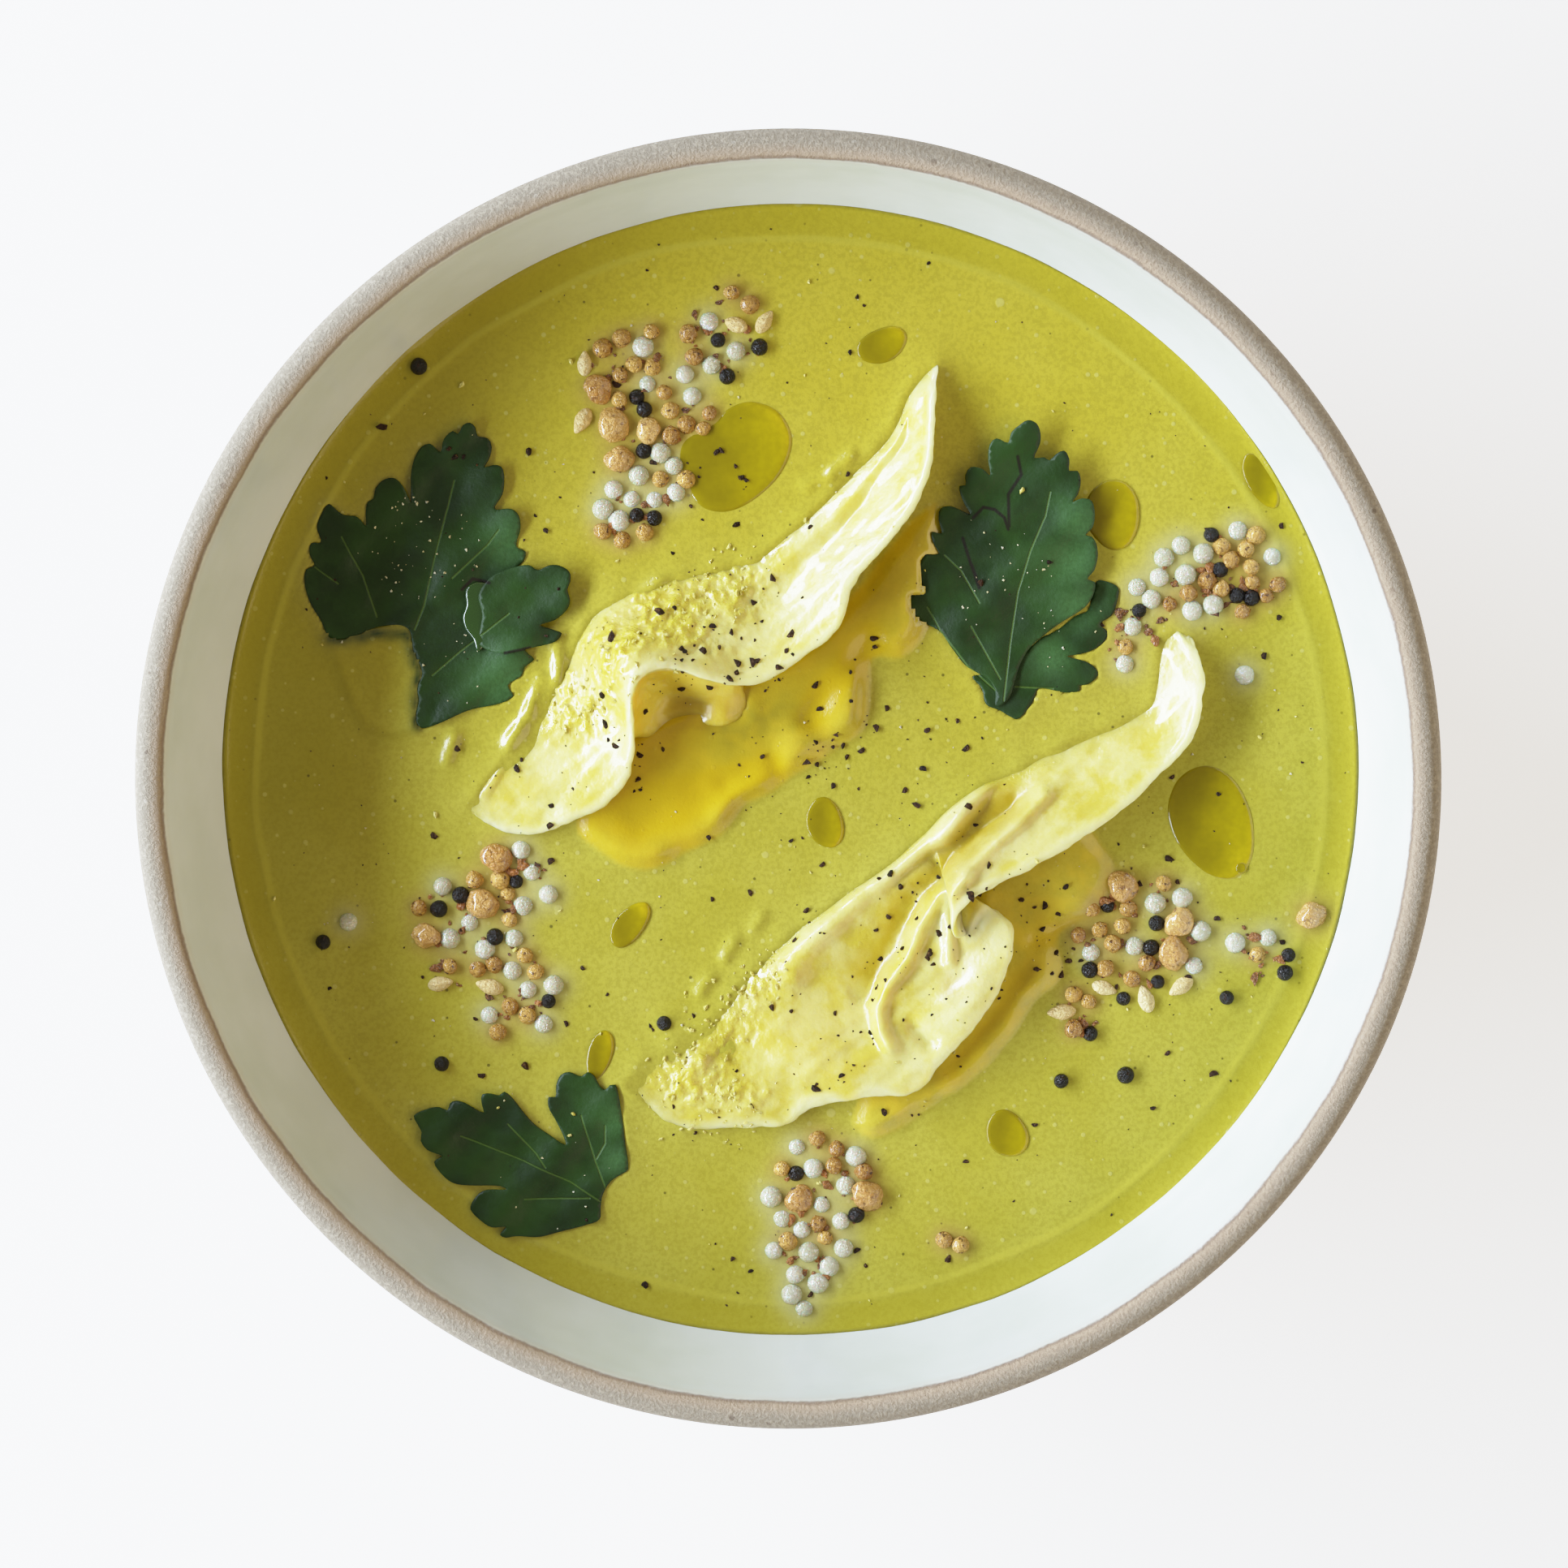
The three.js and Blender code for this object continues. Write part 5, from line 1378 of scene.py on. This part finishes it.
def oval(x, y, half_width, half_height, turn):
    """The outline of a slightly uneven oval."""
    angle = np.linspace(0, 2 * math.pi, 12, endpoint=False)
    reach = 1 + 0.035 * np.sin(3 * angle + x) + 0.02 * np.sin(2 * angle + y)
    flat = np.column_stack([half_width * reach * np.cos(angle), half_height * reach * np.sin(angle)])
    turned = math.radians(turn)
    spin = np.array([[math.cos(turned), math.sin(turned)], [-math.sin(turned), math.cos(turned)]])
    return [tuple(corner) for corner in flat @ spin + [x, y]]


def oil_drop(outline, below):
    """A flat dome on whatever lies below its middle."""
    corners = np.array([tuple(corner) for corner in smooth_line(outline, 0.4, closed=True)])
    x, y = (corners.min(0) + corners.max(0)) / 2
    start_piece()
    bpy.ops.mesh.primitive_circle_add(vertices=len(corners), radius=1, fill_type="NGON")
    drop = named("drop")
    level = below.ray_cast(Vector((x, y, 90)), Vector((0, 0, -1)))[0].z
    set_points(drop, np.column_stack([corners, np.full(len(corners), level - oil_sink)]))
    into_edit(drop)
    for shrink, lift in ((0.975, 0.5), (0.94, 0.28), (0.84, 0.16), (0.6, 0.06)):
        up = (0, 0, (oil_rise + oil_sink) * lift * mm)
        bpy.ops.mesh.extrude_region_move(TRANSFORM_OT_translate={"value": up})
        bpy.ops.transform.resize(value=(shrink, shrink, 1), center_override=(x * mm, y * mm, 0))
    bpy.ops.mesh.poke()
    out_of_edit()
    across = (points_of(drop)[:, :2] - [x, y]) / (corners.max(0) - [x, y])
    # far and edge mark where the oil is painted lighter: painted light on the far side and its rim
    paint(drop, "far", across[:, 0])
    paint(drop, "edge", smoothstep(np.hypot(across[:, 0], across[:, 1]), 0.8, 0.97))
    return drop


soup_tree = surface_tree([soup])
oil_outlines = [bean_drop] + [oval(*place) for place in oil_places]
oil_drops = joined("oil_drops", [oil_drop(outline, soup_tree) for outline in oil_outlines])
wet_drop = joined("wet_drop", [oil_drop(leaf_drop, leaf_tree)])
print("oil drops:", len(oil_outlines))

# %% Oil material
oil_olive = rgb(128, 113, 10)
oil_painted_light_gold = rgb(166, 149, 10)
oil_deep = rgb(112, 97, 8)
oil_painted_rim_light = rgb(196, 174, 18)


def make_oil():
    material, shader = new_material("oil", roughness=0.08, specular_ior_level=0.4)
    far = painted("far") + (clouds(4, 2) - 0.5)
    # painted light: a bright rim on the far side of each drop
    painted_rim_light = painted("edge") * between(far, 0.0, 0.7, 0.1, 0.8)
    mottle = between(clouds(0.8, 3), 0.3, 0.7) * 0.2
    dress(shader, base_color=layered(oil_olive, (between(far, -0.5, 0.9), oil_painted_light_gold), (painted_rim_light, oil_painted_rim_light),
                                     (mottle, oil_deep)))
    return material


finish_piece(oil_drops, make_oil(), "soup")
leaf_water = new_material("leaf_water", base_color=leaf_mid, roughness=0.03, specular_ior_level=0.5,
                          coat_weight=1.0)[0]
finish_piece(wet_drop, leaf_water, "parsley")

# %% [markdown]
# ## Grains
# Each kind is modelled once or a few times as a small mesh, then laid at all its places as one joined mesh,
# each grain turned, tilted and sized by chance. A tone between 0 and 1 is painted on every grain, so that
# its material can make one paler and the next more toasted.
# %% Strewing
def model_of(piece):
    """Takes a modelled grain's points and faces and removes the piece."""
    shape = (points_of(piece), [tuple(face.vertices) for face in piece.data.polygons])
    bpy.data.objects.remove(piece)
    return shape


def ball(segments, rings):
    start_piece()
    bpy.ops.mesh.primitive_uv_sphere_add(segments=segments, ring_count=rings, radius=mm)
    return model_of(named("grain"))


def jittered(points, size, amount, seed):
    away = 1 + amount * noise_at(points, size, seed)
    return points * away[:, None]


def strew(name, models, places):
    """One mesh of many grains; a place is (x, y, z, turn, tilt, (long, wide, high), tone)."""
    all_points, all_faces, all_tones = [], [], []
    shift = 0
    for number, (x, y, z, turn, tilt, size, tone) in enumerate(places):
        points, faces = models[number % len(models)]
        turned = Matrix.Rotation(turn, 3, "Z") @ Matrix.Rotation(tilt, 3, "Y")
        all_points.append((points * size) @ np.array(turned).T + [x, y, z])
        all_faces += [tuple(index + shift for index in face) for face in faces]
        all_tones.append(np.full(len(points), tone))
        shift += len(points)
    mesh = bpy.data.meshes.new(name)
    mesh.from_pydata(np.concatenate(all_points) * mm, [], all_faces)
    piece = linked(name, mesh)
    paint(piece, "tone", np.concatenate(all_tones))
    return piece


def grain_places(kind, sink, seed, lean=1):
    """Where all grains of a kind lie: sunk into the soup by part of their height, and tilted by chance."""
    random = number_stream(seed)
    sizes = np.array(grain_sizes[kind])
    places = []
    for grain in grains:
        if grain[0] == kind:
            scale = 1.08 + 0.12 * (2 * next(random) - 1)
            lift = sizes[2] * (sink + 0.3 * (next(random) - 0.5))
            tilt = 0.5 * (next(random) - 0.5)
            places.append((grain[1], grain[2], soup_level + lift, grain[3], tilt * lean,
                           tuple(sizes * scale), next(random)))
    return places


print("grains to lay:", len(grains))

# %% [markdown]
# The pearls are boiled starch, glassy and white; tiny bubbles and their sparkle are painted as near-white
# marks, partly painted highlight. The toasted grains are round and tan with a germ that curls round them as
# a raised ring. Lumps are clusters with a wet, knobbly skin. Sesame is a drop shape, and mustard seed is
# nearly a ball, black and dull with one small dent.
# %% Grain models
def pearl_model():
    points, faces = ball(18, 12)
    return (jittered(points, 0.7, 0.05, 2), faces)


def toasted_model(seed):
    """A ball with a groove and a raised ring round its side."""
    points, faces = ball(18, 12)
    ring = np.exp(-((points[:, 2] - 0.25) / 0.16) ** 2)
    groove = np.exp(-((points[:, 2] - 0.58) / 0.14) ** 2)
    points = points * (1 + 0.08 * ring - 0.12 * groove)[:, None]
    return (jittered(points, 0.9, 0.10, seed), faces)


def lump_model(seed):
    points, faces = ball(24, 16)
    return (jittered(jittered(points, 1.1, 0.24, seed), 0.45, 0.10, seed + 7), faces)


def sesame_model():
    """A flattened ball drawn to a point at one end."""
    points, faces = ball(16, 10)
    taper = 1 - 0.42 * smoothstep(points[:, 0], -0.1, 1.0)
    ridge = 1 + 0.12 * np.exp(-(points[:, 1] / 0.18) ** 2)
    return (points * np.column_stack([np.ones(len(points)), taper, taper * ridge]), faces)


def mustard_model():
    points, faces = ball(18, 12)
    dent = np.exp(-((points - [0.5, 0.3, 0.8]) ** 2).sum(1) / 0.10)
    return (jittered(points * (1 - 0.18 * dent)[:, None], 0.8, 0.05, 5), faces)


grain_pieces = {
    "pearl": strew("pearls", [pearl_model()], grain_places("pearl", -0.12, 101)),
    "toasted": strew("toasted_grains", [toasted_model(seed) for seed in (1, 4, 9)],
                     grain_places("toasted", 0.2, 102, lean=3)),
    "lump": strew("grain_lumps", [lump_model(seed) for seed in (2, 5, 8)], grain_places("lump", 0.25, 103)),
    "sesame": strew("sesame_seeds", [sesame_model()], grain_places("sesame", 0.35, 104)),
    "mustard": strew("mustard_seeds", [mustard_model()], grain_places("mustard", 0.3, 105))}
print("grain faces:", {kind: len(piece.data.polygons) for kind, piece in grain_pieces.items()})

# %% Grain materials
def make_grain(name, pale, deep, mark, mark_share, spot_size, roughness, glassy=0.0, **fixed):
    """A two-tone grain with marks; a glassy one shows the soup where its side turns away."""
    material, shader = new_material(name, roughness=roughness, **fixed)
    mottle = between(clouds(spot_size, 3, 0.6), 0.35, 0.65)
    tone = painted("tone") * 0.65 + mottle * 0.35
    marks = between(clouds(spot_size * 1.6, 2), 0.58, 0.7) * mark_share
    colour = layered(rgb(*pale), (tone, rgb(*deep)), (marks, rgb(*mark)))
    if glassy:
        side = put("ShaderNodeLayerWeight", {"Blend": 0.5})["Facing"]
        colour = blend(between(side, 0.2, 0.9, 0.0, glassy), colour, soup_light)
    dress(shader, base_color=colour, normal=bump(mottle, 0.16))
    return material


grain_finishes = {
    # the pearl's near-white marks are partly painted highlight, for the sparkle of its bubbles
    "pearl": make_grain("pearl", (226, 225, 204), (200, 198, 164), (253, 253, 252), 0.9, 0.3, 0.1, 0.55,
                        subsurface_weight=0.5, subsurface_scale=1.2 * mm, coat_weight=0.8),
    "toasted": make_grain("toasted", (226, 180, 88), (150, 96, 30), (74, 38, 12), 0.9, 0.4, 0.22,
                          coat_weight=0.4),
    "lump": make_grain("lump", (230, 186, 106), (180, 124, 54), (104, 58, 22), 0.7, 0.5, 0.14,
                       coat_weight=0.9),
    "sesame": make_grain("sesame", (244, 228, 168), (224, 190, 118), (160, 108, 54), 0.3, 0.5, 0.3),
    "mustard": make_grain("mustard", (22, 15, 11), (10, 7, 6), (60, 34, 18), 0.5, 0.5, 0.2,
                          specular_ior_level=0.35)}
for kind, piece in grain_pieces.items():
    finish_piece(piece, grain_finishes[kind], "soup")

# %% [markdown]
# ## Pepper and crumbs
# Ground pepper lies in angular flecks, thickest along the dumplings' lips and between them. Brown husks lie
# among the grains, pale dust on the leaves and crumbs of soup on the dough. A fleck is an icosphere that is
# flattened and pushed out of shape, with flat faces. Each drops straight down onto whatever lies below:
# soup, dough, oil or leaf.
# %% Dropping small things
ground = surface_tree([soup, *dumplings, *parsley.values(), oil_drops])


def fleck_model(seed, flat):
    start_piece()
    bpy.ops.mesh.primitive_ico_sphere_add(subdivisions=1, radius=mm)
    points, faces = model_of(named("fleck"))
    return (jittered(points, 0.7, 0.8, seed) * [1, 0.65, flat], faces)


def dropped(places, seed, smallest, largest, high, lean=2.2):
    """Lets small things fall in discs of (x, y, radius, count) and gives each its place and size."""
    random = number_stream(seed)
    fallen = []
    for *disc, count in places:
        for _ in range(count):
            x, y, _ = in_disc(random, *disc)
            size = smallest + (largest - smallest) * next(random) ** lean
            hit = ground.ray_cast(Vector((x, y, 90)), Vector((0, 0, -1)))[0]
            turn, tilt, tone = 6.3 * next(random), next(random) - 0.5, next(random)
            if hit is not None and math.hypot(x, y) < soup_radius - 1:
                fallen.append((x, y, hit.z + 0.1 * size, turn, tilt, (size, size, size * high), tone))
    return fallen


# (x, y, radius, count) of the places where pepper fell
pepper_falls = [
    (-11, 15.5, 5, 26), (-3.5, 16, 5, 22), (-24, 2, 6, 16), (-34, -2, 6, 10), (-18, 8, 8, 14),
    (-10, 24, 6, 8), (7, 6.5, 5, 20), (4, 1, 4, 16), (-2, -2, 8, 14), (1, 27, 6, 6), (13, 14, 6, 8),
    (20, 2, 8, 10), (33, -13, 5, 14), (33, -22, 5, 16), (24, -22, 8, 26), (10, -20, 8, 20),
    (16, -30, 8, 26), (4, -36, 8, 18), (20, -8, 8, 12), (-8, -44, 8, 10), (11, -46, 8, 8),
    (36, -26, 6, 14), (0, 0, 74, 260), (-20, 40, 16, 12), (-9, 38, 6, 8), (50, -22, 12, 12),
    (-40, -25, 14, 8)]
cracked_pepper = [
    (-9.6, 42.9), (-7, 33.3), (-9, 43.2), (-34.5, 43), (-54, 46.2), (26.5, -11.4), (13.5, -13),
    (24.2, -15.2), (0.8, -22), (-17, 22), (-23.4, 18.6), (-2.2, 26.4), (31, -16.5), (17, -4), (-7.5, 19.4)]
coarse_falls = [(x, y, 0, 1) for x, y in cracked_pepper]
husk_falls = [(x, y, 0.9 * radius, round(radius * 3.6)) for (x, y, radius), _ in patches if radius > 3.5]
dust_falls = [place for form in leaf_forms.values() for place in form["dust"]] + [(0, 0, 70, 70)]
crumb_falls = [(*disc, 34) for disc in upper_form["crumbs"] + lower_form["crumbs"]] + [(0, 0, 72, 60)]
pepper = make_grain("pepper", (26, 16, 8), (66, 40, 20),
                    (150, 108, 56), 0.3, 0.3, 0.5, specular_ior_level=0.2)
husk = make_grain("husk", (186, 118, 54), (48, 26, 14), (224, 176, 110), 0.4, 0.35, 0.3)
dust = make_grain("dust", (244, 242, 222), (232, 220, 150), (214, 196, 110), 0.3, 0.3, 0.25)
crumb = make_grain("crumb", (240, 232, 140), (222, 206, 84), (206, 184, 60), 0.4, 0.4, 0.25,
                   coat_weight=0.4)
# name: (finish, seeds of its models, how thick these are, what dropped needs)
small_things = {
    "pepper_flecks": (pepper, (1, 3, 5, 7), 0.6, (pepper_falls, 311, 0.12, 0.72, 0.7, 3.0)),
    "coarse_pepper": (pepper, (21, 23, 25), 0.7, (coarse_falls, 417, 0.5, 0.85, 0.8)),
    "grain_husks": (husk, (9, 12, 15), 0.45, (husk_falls, 713, 0.3, 1.1, 0.8)),
    "pale_dust": (dust, (8, 11), 0.9, (dust_falls, 919, 0.07, 0.26, 0.8)),
    "soup_crumbs": (crumb, (2, 4, 6), 0.9, (crumb_falls, 517, 0.15, 0.5, 0.8))}
for name, (finish, seeds, flat, fall) in small_things.items():
    piece = strew(name, [fleck_model(seed, flat) for seed in seeds], dropped(*fall))
    finish_piece(piece, finish, "soup", flat=True)
print("small things:", list(small_things))

# %% [markdown]
# ## Floor
# The bowl stands on a plain pale table. It only catches the bowl's shadow, so a large square is enough.
# It glows a little, as a light table does, which keeps that shadow pale.
# %% Floor
start_piece()
bpy.ops.mesh.primitive_plane_add(size=6, location=(0, 0, 0))
floor = named("floor")
floor_finish = new_material("floor", base_color=rgb(222, 222, 221), roughness=0.7,
                            emission_color=rgb(250, 252, 255), emission_strength=0.62)[0]
floor.data.materials.append(floor_finish)
